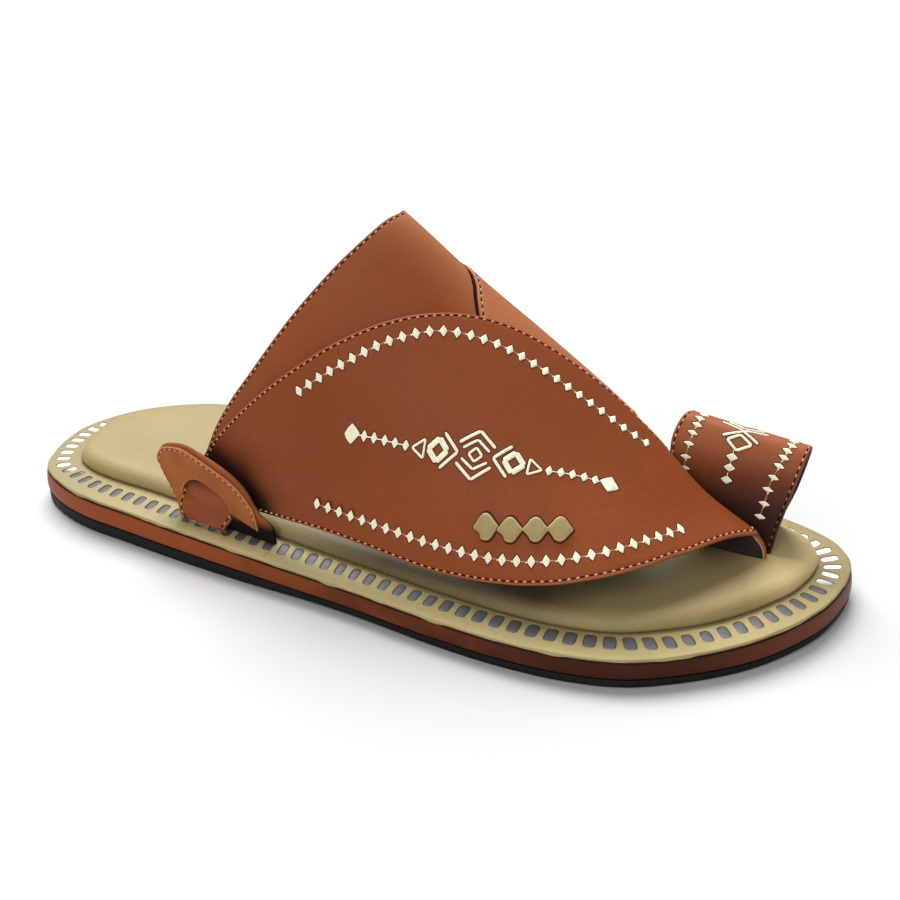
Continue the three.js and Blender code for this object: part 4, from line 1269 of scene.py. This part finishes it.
lateral = leather_sheet(strap_face(LATERAL_LOWER_EDGE, LATERAL_UPPER_EDGE, True), INSTEP_MIDDLE, 320, 90,
                        (1.2, LATERAL_OUTER), relief=lateral_creases)
lateral_piece = sheet_piece("lateral_strap", lateral, [brown_leather, lining],
                            shade_by_loop)
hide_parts("upper")
points, faces, picks = stitch_line(both_edges(lateral, 4, -6))
make_piece("lateral_strap_stitches", points, faces, [seam_thread, needle_hole], picks)

# Strap tails: the lower ends of the two side straps, narrowed and led down through the side loops.
# Each bends out onto the rim over the inner half of the windows, and has a stitched edge on both sides.
TAIL_ROWS = [  # rear x, front x, rear inset, front inset, rear height above the rim, front height
    (-65, -42, 16.6, 16.2, 18.5, 18.5),
    (-66, -42.6, 13.4, 13.8, 13.2, 11.4),
    (-65.6, -44.4, 10.2, 10.8, 9.4, 5.4),
    (-64.8, -45.4, 7.2, 8, 7.2, 3),
    (-64.8, -46, 6, 6.4, 4.4, 1.8),
    (-63.4, -45.6, 6.2, 4.8, 1.2, 1.3),
]
TAIL_MIDDLE = np.array([-53.0, 10.0, 12.0])
# Painted light: how much paler the tails are made.
TAIL_LIT = 0.1


def tail_face(side):
    """Face between a tail's rear and front edges; side is -1 lateral and 1 medial."""
    edge_at = lateral_edge_at if side < 0 else medial_edge_at

    def edge(first):
        rows = [(row[first], row[first + 2], row[first + 4]) for row in TAIL_ROWS]
        return smooth_path([(x, edge_at(x) - side * inset, rim_at(x) + height) for x, inset, height in rows])

    rear, front = edge(0), edge(1)

    def spot(u, v):
        u, v = np.broadcast_arrays(u, v)
        return rear(u) * (1 - v[..., None]) + front(u) * v[..., None]

    return spot


def shade_in_arch(points, insets):
    """Painted shade where the tail comes out of the arch of its loop."""
    height = np.clip((points[:, 2] - rim_at(points[:, 0]) - 8) / 5.5, 0, 1)
    return 0.85 * height * height * (3 - 2 * height)


tail_threads = []
for side, name in ((-1, "lateral"), (1, "medial")):
    tail = leather_sheet(tail_face(side), TAIL_MIDDLE, 60, 16, (-0.8, 0.8))
    sheet_piece(f"{name}_tail", tail, [brown_leather, lining], shade_in_arch,
                lambda points, insets: np.full(len(insets), TAIL_LIT))
    tail_threads += both_edges(tail, 2, -2)
points, faces, picks = stitch_line(tail_threads)
make_piece("tail_stitches", points, faces, [seam_thread, needle_hole], picks)

# Puffed diamonds: four small rhombs of tan leather over a soft filling, heat-pressed on the lateral strap.
# They touch tip to tip in a row above the lower chain of embroidery.
DIAMOND_CENTRES = [(44, -65), (50.8, -63), (57.5, -60), (63.8, -56.8)]
DIAMOND_PINCHES = [1, 0.8, 0.4, 0.15]
DIAMOND_ROW = (1, 0.45)
DIAMOND_HALF_WIDTH = 3.65
DIAMOND_HALF_HEIGHTS = [3.9, 3.6, 3.55, 3.6]
DIAMOND_LEVELS = [  # share of the outline, mm proud of the strap
    (1.16, 0.03),
    (0.99, 0.06),
    (1, 0.5),
    (0.985, 0.95),
    (0.95, 1.25),
    (0.88, 1.5),
    (0.77, 1.62),
    (0.5, 1.68),
    (0.02, 1.7),
]


def lateral_face(x, angle):
    """Outer face of the lateral strap and its normal."""
    near = 0.2
    point = instep(x, angle, True)
    along = instep(x + near, angle, True) - instep(x - near, angle, True)
    across = instep(x, angle + near, True) - instep(x, angle - near, True)
    normal = np.cross(along, across)
    normal /= np.linalg.norm(normal, axis=-1, keepdims=True)
    return point + LATERAL_OUTER * normal, normal


def lay(face, centre, heading, pattern):
    """Places of a flat pattern (mm along, mm across, mm proud) laid on a leather face round a centre."""
    near = 0.2
    first, second = (np.array(value, float) for value in centre)
    middle, normal = face(first, second)
    step_first = (face(first + near, second)[0] - middle) / near
    step_second = (face(first, second + near)[0] - middle) / near
    right = step_first * heading[0] + step_second * heading[1]
    right -= normal * (right @ normal)
    right /= np.linalg.norm(right)
    up = np.cross(normal, right)
    wanted = pattern[..., :1] * right + pattern[..., 1:2] * up
    moved = wanted @ np.linalg.pinv(np.stack([step_first, step_second], 1)).T
    spots, normals = face(first + moved[..., 0], second + moved[..., 1])
    return spots + normals * pattern[..., 2:]


PUFF = tint(155, 137, 83)
PUFF_DARK = tint(147, 129, 77)
PUFF_BEVEL_HIGHLIGHT = tint(190, 170, 126)
OUTLINE_SHADOW = tint(86, 41, 23)
OUTLINE_SHADOW_DARK = tint(58, 25, 13)
puff_leather, shader, place = new_finish("puff_leather", Coat_Weight=0.03, Coat_Roughness=0.4)
lift = place.trait("lift")
pores = place.noise(900, 3)
# Painted highlight on the bevel round each puff.
bevel_highlight = lift.step(0.5, 0.9) * (1 - lift.step(1.4, 1.6))
feed(shader,
     Base_Color=(0.7 * bevel_highlight).blend(pores.step(0.3, 0.7).blend(PUFF_DARK, PUFF), PUFF_BEVEL_HIGHLIGHT),
     Roughness=0.5 + 0.12 * pores,
     Normal=(0.6 * place.cells(1150) + 0.4 * pores).bump(0.00005))
# Painted shadow: dark patches round the puffs and the embroidery.
pressed_leather, shader, place = new_finish("pressed_leather", Roughness=0.7, Specular_IOR_Level=0.05)
feed(shader, Base_Color=place.noise(900).blend(OUTLINE_SHADOW_DARK, OUTLINE_SHADOW))


def diamond_outline(pinch, half_height):
    """Rounded top and bottom, pointed sides, and a lower rear side that is drawn in by pinch."""
    pinched = [(-0.84 + 0.1 * pinch, -0.24), (-0.64 + 0.16 * pinch, -0.5)]
    rear = [(-1, 0), (-0.98, -0.07), *pinched, (-0.4, -0.82)]
    base = [(-0.16, -0.98), (0.16, -0.98)]
    front = [(0.4, -0.82), (0.66, -0.46), (0.86, -0.2), (0.98, -0.06), (1, 0), (0.98, 0.07)]
    top = [(0.7, 0.42), (0.36, 0.84), (0.14, 0.98), (-0.14, 0.98), (-0.36, 0.84), (-0.7, 0.42), (-0.98, 0.07)]
    outline = even_path(rear + base + front + top, closed=True)(np.linspace(0, 1, 128, endpoint=False))
    return outline * (DIAMOND_HALF_WIDTH, half_height)


for i, (centre, pinch, half_height) in enumerate(zip(DIAMOND_CENTRES, DIAMOND_PINCHES, DIAMOND_HALF_HEIGHTS)):
    outline = diamond_outline(pinch, half_height)
    pattern = np.stack([np.column_stack([outline * size, np.full(len(outline), proud)])
                        for size, proud in DIAMOND_LEVELS], 1)
    points, faces = join_grids([(lay(lateral_face, centre, DIAMOND_ROW, pattern), True)])
    # The outermost ring round each puff is a dark patch of painted shadow.
    picks = np.arange(len(faces)) % (len(DIAMOND_LEVELS) - 1) == 0
    puff = make_piece(f"puffed_diamond_{i + 1}", points, faces, [puff_leather, pressed_leather], picks,
                      {"lift": pattern[..., 2]})
    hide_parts(f"diamond_{i + 1}")

# Embroidery: cream satin stitch on the lateral strap, sewn through the leather before lining.
# Two chains of small diamonds follow the edges.
# A traditional motif of diamonds and chevrons lies between them.
UPPER_CHAIN = [  # x along the foot, angle from the ridge
    (-21, -57.8),
    (-6.8, -48),
    (6, -38),
    (19.5, -27.8),
    (33.5, -21.2),
    (47, -17.8),
    (60, -15.5),
    (69.8, -12.8),
    (76.2, -9),
]
UPPER_CHAIN_COUNT = 30
LOWER_CHAIN = [
    (-11.5, -77),
    (13.5, -76),
    (29.5, -75.2),
    (46.2, -73),
    (61.8, -67.8),
    (75.5, -57.8),
    (87, -43.2),
    (92.5, -32.5),
]
LOWER_CHAIN_COUNT = 29
CHAIN_DIAMOND = (3.45, 2.25)  # height, width
MOTIF_CENTRE = (36, -50.2)
MOTIF_HEADING = (21, 6.5)
MOTIF_REACH = 19.0  # from the centre to the two end chains
END_CHAIN = (1.9, 5.1, 8.2, 11.4, 14.4)
END_CHAIN_LENGTH = 18.3
THREAD = 0.38
PROUD = 0.42
CREAM = tint(255, 252, 230)
CREAM_SHADE = tint(238, 230, 195)
LINK = tint(206, 160, 118)
LINK_SHADE = tint(160, 104, 68)
cream_thread = thread_finish("cream_thread", CREAM, CREAM_SHADE, 1800)
link_thread = thread_finish("link_thread", LINK, LINK_SHADE, 1800)


def satin(start, finish, width, taper=False):
    """Satin stitch between two places of a flat pattern: close threads across, pulled down at the sides.

    Returns the threads and a slightly larger flat patch of painted shadow round them.
    """
    start, finish = np.array(start, float), np.array(finish, float)
    length = np.linalg.norm(finish - start)
    ahead = (finish - start) / length
    beside = np.array([-ahead[1], ahead[0]])
    count = max(3, round(length / THREAD))
    t = np.linspace(0, 1, 2 * count + 1)
    if taper:
        half = width / 2 * (1 - np.abs(2 * t - 1) ** 1.25) + 0.1
    else:
        half = width / 2 * np.minimum(1, 0.55 + 6 * t * (1 - t))
    s = np.linspace(-1, 1, 7)
    ridge = np.where(np.arange(len(t)) % 2 == 1, 1.0, 0.62)
    dome = PROUD * np.minimum(1, half / 0.45)[:, None] ** 0.6 * ridge[:, None] * (1 - s ** 4)[None, :]
    centre = start + (finish - start) * t[:, None]
    flat = centre[:, None] + beside * (half[:, None] * s[None, :])[..., None]
    threads = np.concatenate([flat, (dome - 0.02)[..., None]], -1)
    grown = start + (finish - start) * (t[:, None] * (length + 0.4) - 0.2) / length
    shadows = grown[:, None] + beside * ((half + 0.22)[:, None] * np.array([-1, 0, 1])[None, :])[..., None]
    return threads, np.concatenate([shadows, np.full(shadows.shape[:2] + (1,), 0.035)], -1)


def even_chain(face, path, count):
    """Places along a chain, an even distance apart on the leather itself."""
    at = even_path(path)
    shares = np.linspace(0, 1, 801)
    drawn = at(shares)
    on_face = face(drawn[:, 0], drawn[:, 1])[0]
    lengths = np.concatenate([[0], np.cumsum(np.linalg.norm(np.diff(on_face, axis=0), axis=1))])
    return at(np.interp(np.linspace(0, lengths[-1], count), lengths, shares))


def chain_of_diamonds(face, places, size):
    """Grids of one chain: its threads, the painted shadow round them, and the thin thread that links its
    diamonds.
    """
    threads, shadows, links = [], [], []
    places = np.asarray(places, float)
    spots = face(places[:, 0], places[:, 1])[0]
    headings = np.gradient(places, axis=0)
    height, width = size
    for i, (place, heading) in enumerate(zip(places, headings)):
        diamond, patch = satin((0, -height / 2), (0, height / 2), width, taper=True)
        threads.append(lay(face, place, heading, diamond))
        shadows.append(lay(face, place, heading, patch))
        if i < len(places) - 1:
            pitch = np.linalg.norm(spots[i + 1] - spots[i])
            link, _ = satin((width / 2 - 0.2, 0), (pitch - width / 2 + 0.2, 0), 0.26)
            knot, _ = satin((pitch - width / 2 - 0.5, -0.15), (pitch - width / 2 + 0.1, -0.15), 0.45)
            links.append(lay(face, place, heading, link * (1, 1, 0.4)))
            threads.append(lay(face, place, heading, knot * (1, 1, 0.7)))
    return threads, shadows, links


def chevron(points, width):
    """Two bars of satin stitch that meet at the middle point."""
    a, b, c = points
    return [(a, b, width, False), (b, c, width, False)]


def loop_of(points, width):
    """Bars of satin stitch round a closed shape."""
    return [(a, b, width, False) for a, b in zip(points, points[1:] + points[:1])]


def sew(face, centre, heading, bars):
    """Bars of satin stitch laid on a leather face: their threads and the painted shadow round them."""
    threads, shadows = [], []
    for start, finish, width, taper in bars:
        stitched, patch = satin(start, finish, width, taper)
        threads.append(lay(face, centre, heading, stitched))
        shadows.append(lay(face, centre, heading, patch))
    return threads, shadows


motif = loop_of([(-2.0, 0), (0, 2.1), (2.0, 0), (0, -2.1)], 0.8)
motif += chevron([(-3.9, 1.5), (0, 4.4), (3.9, 1.5)], 0.85)
motif += chevron([(-5.2, 2.9), (0.2, 7.1), (5.3, 3)], 1.0)
motif += chevron([(-3.9, -1.5), (0, -4.3), (3.8, -1.7)], 0.85)
motif += chevron([(-5.3, -2.9), (0, -7.4), (5.1, -2.9)], 1.0)
for flip in (-1, 1):
    motif += chevron([(flip * 9.8, 4.9), (flip * 5.2, 0), (flip * 9.9, -5.0)], 1.0)
    motif += loop_of([(flip * 14.0, 0), (flip * 11.1, 3.2), (flip * 8.3, 0), (flip * 11.1, -3.3)], 1.75)
    motif += loop_of([(flip * MOTIF_REACH, -0.1), (flip * 15.3, 2.5), (flip * 15.3, -2.7)], 0.75)
for flip, stretch, rise, half, end_half in ((-1, 1.08, 2.5, 1.4, 2.4), (1, 1, 3.9, 1.7, 3.1)):
    for along in END_CHAIN:
        out, up = flip * (MOTIF_REACH + stretch * along), rise * along / END_CHAIN_LENGTH
        motif.append(((out, up - half), (out, up + half), 2.0, True))
        motif.append(((out + flip * 0.7, up + 0.1), (out + flip * 2.6, up + 0.1 * rise), 0.34, False))
    out = flip * (MOTIF_REACH + stretch * END_CHAIN_LENGTH)
    motif.append(((out, rise - end_half), (out, rise + end_half), 5.4, True))
upper_chain = even_chain(lateral_face, UPPER_CHAIN, UPPER_CHAIN_COUNT)
lower_chain = even_chain(lateral_face, LOWER_CHAIN, LOWER_CHAIN_COUNT)
upper_threads, upper_shadows, upper_links = chain_of_diamonds(lateral_face, upper_chain, CHAIN_DIAMOND)
lower_threads, lower_shadows, lower_links = chain_of_diamonds(lateral_face, lower_chain, CHAIN_DIAMOND)
motif_threads, motif_shadows = sew(lateral_face, MOTIF_CENTRE, MOTIF_HEADING, motif)


def embroidery_piece(name, threads, shadows, links):
    """Piece from grids of cream thread, of the painted shadow round it, and of the thin links."""
    points, faces = join_grids([(grid, False) for grid in threads + shadows + links])
    counts = [
        sum((grid.shape[0] - 1) * (grid.shape[1] - 1) for grid in grids) for grids in (threads, shadows, links)
    ]
    picks = np.repeat([0, 1, 2], counts)
    finishes = [cream_thread, pressed_leather, link_thread]
    return make_piece(name, points, faces, finishes, picks, crisp=180)


embroidery_piece("strap_upper_chain", upper_threads, upper_shadows, upper_links)
embroidery_piece("strap_lower_chain", lower_threads, lower_shadows, lower_links)
embroidery_piece("strap_motif", motif_threads, motif_shadows, [])

# Toe loop: a band of the same brown leather, bent over the big toe from the toe slot to the medial side.
# It is lined, stitched along both edges, and carries two chains of diamonds and a small crossed motif.
TOE_LOOP_ROWS = [  # rear x, front x, rear y, front y, rear z, front z
    (92, 116, 9.8, 7.2, 15.5, 15.7),
    (87.5, 117.4, 10.8, 8, 24, 23.5),
    (83.4, 119.8, 12, 10.2, 35, 33),
    (82.8, 122, 13.6, 13, 45.6, 41.8),
    (84.8, 123.3, 18.4, 18, 51.8, 46.4),
    (86.4, 123.2, 25.2, 23.4, 50.6, 45.2),
    (87.2, 122, 31.2, 27.4, 44, 39),
    (88.5, 119.4, 34.4, 28.8, 31, 28),
    (90, 115.2, 35, 29, 15.5, 15.7),
]
TOE_LOOP_WALL = 1.8
TOE_LOOP_MIDDLE = np.array([103.0, 21.0, 24.0])
TOE_LINING_SHADED = tint(41, 31, 31)
TOE_LINING_SHADED_DARK = tint(24, 18, 18)
toe_rear = smooth_path([(row[0], row[2], row[4]) for row in TOE_LOOP_ROWS])
toe_front = smooth_path([(row[1], row[3], row[5]) for row in TOE_LOOP_ROWS])


def toe_loop_spot(u, v):
    """Outer face of the toe loop: u over the toe, v from rear to front."""
    u, v = np.broadcast_arrays(u, v)
    return toe_rear(u) * (1 - v[..., None]) + toe_front(u) * v[..., None]


def toe_loop_face(along, across):
    """Outer face of the toe loop and its normal: percent of the way over it, percent from rear to front."""
    u, v = np.asarray(along) / 100, np.asarray(across) / 100
    near = 0.003
    point = toe_loop_spot(u, v)
    normal = np.cross(toe_loop_spot(u, v + near) - toe_loop_spot(u, v - near),
                      toe_loop_spot(u + near, v) - toe_loop_spot(u - near, v))
    return point, normal / np.linalg.norm(normal, axis=-1, keepdims=True)


toe_loop = leather_sheet(toe_loop_spot, TOE_LOOP_MIDDLE, 200, 40, (-TOE_LOOP_WALL, 0))
# Painted shade: the toe loop's lining is a darker, shaded copy of the split lining.
dark_lining, shader, place = new_finish("dark_lining", Specular_IOR_Level=0.15)
fluff = place.noise(1400, 3, 0.7)
feed(shader,
     Base_Color=fluff.step(0.3, 0.7).blend(TOE_LINING_SHADED_DARK, TOE_LINING_SHADED),
     Roughness=0.75 + 0.15 * fluff,
     Normal=fluff.bump(0.00018))


def shade_in_slot(points):
    """Painted shade on the side in the toe slot, darker down to the footbed."""
    down = np.clip((47 - points[:, 2]) / 21, 0, 1)
    beside = np.clip((24 - points[:, 1]) / 4, 0, 1)
    return 0.93 * beside * down * down * (3 - 2 * down)


def shade_in_slot_or_on_edge(points, insets):
    return np.maximum(shade_in_slot(points), shade_on_turned_edge(points, insets))


def lit_on_top(points, insets):
    """Painted light: paler where the loop bends over the toe."""
    return 0.32 * np.clip((points[:, 2] - 36) / 12, 0, 1)


toe_loop_piece = sheet_piece("toe_loop_band", toe_loop, [brown_leather, dark_lining],
                             shade_in_slot_or_on_edge, lit_on_top, turned=1)
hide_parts("toe_loop")
points, faces, picks = stitch_line(both_edges(toe_loop, 4, -4))
make_piece("toe_loop_stitches", points, faces, [seam_thread, needle_hole], picks,
           {"tucked": shade_in_slot(points)})
REAR_CHAIN = [  # percent of the way over the toe, percent from rear to front
    (27.8, 12.7),
    (32, 13.3),
    (37.1, 14),
    (42, 14),
    (46.1, 14.3),
    (50.5, 13.3),
    (55.5, 13.5),
    (61, 13.5),
    (66.5, 14),
]
FRONT_CHAIN = [
    (16.5, 80.3),
    (21.6, 81),
    (27.1, 80.7),
    (32, 82),
    (37, 83),
    (41.4, 84),
    (45.2, 84.3),
    (49.2, 85.7),
    (54.5, 85.7),
    (60, 85.7),
    (66, 85.5),
]
TOE_DIAMOND = (3.3, 1.5)
CROSSED_CENTRE = (43.1, 49.2)
CROSSED_DROPS = [(35.9, 48), (31.8, 48), (27.1, 47.3)]
CROSSED_HEADING = (0, 1)
rear_threads, rear_shadows, rear_links = chain_of_diamonds(toe_loop_face, REAR_CHAIN, TOE_DIAMOND)
front_threads, front_shadows, front_links = chain_of_diamonds(toe_loop_face, FRONT_CHAIN, TOE_DIAMOND)
crossed = loop_of([(-3.7, 0), (-0.3, 2.5), (3.7, 0), (-0.2, -2.6)], 0.95)
crossed += chevron([(-5.4, 0.9), (0.2, 4.1), (5.4, 0.9)], 0.9)
crossed += chevron([(-6.8, 6.6), (0.2, 4.6), (7.8, 6)], 0.8)
crossed += chevron([(-5, 8.2), (0.2, 6), (6.4, 7.6)], 0.7)
crossed += loop_of([(-3.4, 10.6), (0, 12.9), (3.4, 10.6), (0, 8.3)], 0.9)
toe_threads, toe_shadows = sew(toe_loop_face, CROSSED_CENTRE, CROSSED_HEADING, crossed)
drop = [((-1.7, 0), (1.7, 0), 2.4, True), ((0, 1), (0, 2.4), 0.28, False)]
for centre in CROSSED_DROPS:
    drop_threads, drop_shadows = sew(toe_loop_face, centre, CROSSED_HEADING, drop)
    toe_threads += drop_threads
    toe_shadows += drop_shadows
embroidery_piece("toe_loop_embroidery", rear_threads + front_threads + toe_threads,
                 rear_shadows + front_shadows + toe_shadows, rear_links + front_links)

# Stage: a plain pale floor in pale surroundings, under two wide soft lamps.
# The main lamp stands high behind the heel on the medial side, and a weaker one stands on the lateral side.
# The camera is where the photograph was taken from, beyond the toes on the lateral side.
FLOOR = (0.595, 0.595, 0.595, 1)
FLOOR_LIGHT = (0.61, 0.61, 0.61, 1)
SURROUND_STRENGTH = 0.27
floor_finish, shader, place = new_finish("pale_floor", Roughness=0.85)
feed(shader, Base_Color=place.noise(3).blend(FLOOR, FLOOR_LIGHT))
floor_mesh = bpy.data.meshes.new("floor")
floor_mesh.from_pydata([(-6, -6, 0), (6, -6, 0), (6, 6, 0), (-6, 6, 0)], [], [(0, 1, 2, 3)])
floor_mesh.materials.append(floor_finish)
floor = bpy.data.objects.new("floor", floor_mesh)
bpy.context.collection.objects.link(floor)


def lamp(name, aim, strength, spread):
    """Far lamp that shines along aim, as wide as spread degrees of the sky."""
    light = bpy.data.lights.new(name, "SUN")
    light.energy = strength
    light.angle = math.radians(spread)
    stand = bpy.data.objects.new(name, light)
    stand.rotation_euler = Vector(aim).to_track_quat("-Z", "Y").to_euler()
    bpy.context.collection.objects.link(stand)


lamp("main_lamp", (0.32, -0.43, -0.84), 4.35, 44)
lamp("front_lamp", (-0.05, 0.82, -0.57), 1.33, 50)
world = bpy.data.worlds.new("pale_studio")
world.use_nodes = True
world.node_tree.nodes["Background"].inputs["Color"].default_value = (1, 1, 1, 1)
world.node_tree.nodes["Background"].inputs["Strength"].default_value = SURROUND_STRENGTH
bpy.context.scene.world = world
bpy.context.scene.view_settings.view_transform = "Standard"

CAMERA_PLACE = (0.16381, -0.34835, 0.20732)
CAMERA_RIGHT = (0.9225, 0.3859, -0.0097)
CAMERA_UP = (-0.1509, 0.3834, 0.9112)
CAMERA_FORWARD = (-0.35533, 0.83907, -0.41195)
CAMERA_LENS = 53.12
camera_data = bpy.data.cameras.new("camera")
camera_data.lens = CAMERA_LENS
camera_data.sensor_width = 36
camera_data.clip_start = 0.01
camera = bpy.data.objects.new("camera", camera_data)
stand = Matrix((CAMERA_RIGHT, CAMERA_UP, [-value for value in CAMERA_FORWARD])).transposed().to_4x4()
stand.translation = CAMERA_PLACE
camera.matrix_world = stand
bpy.context.collection.objects.link(camera)
bpy.context.scene.camera = camera
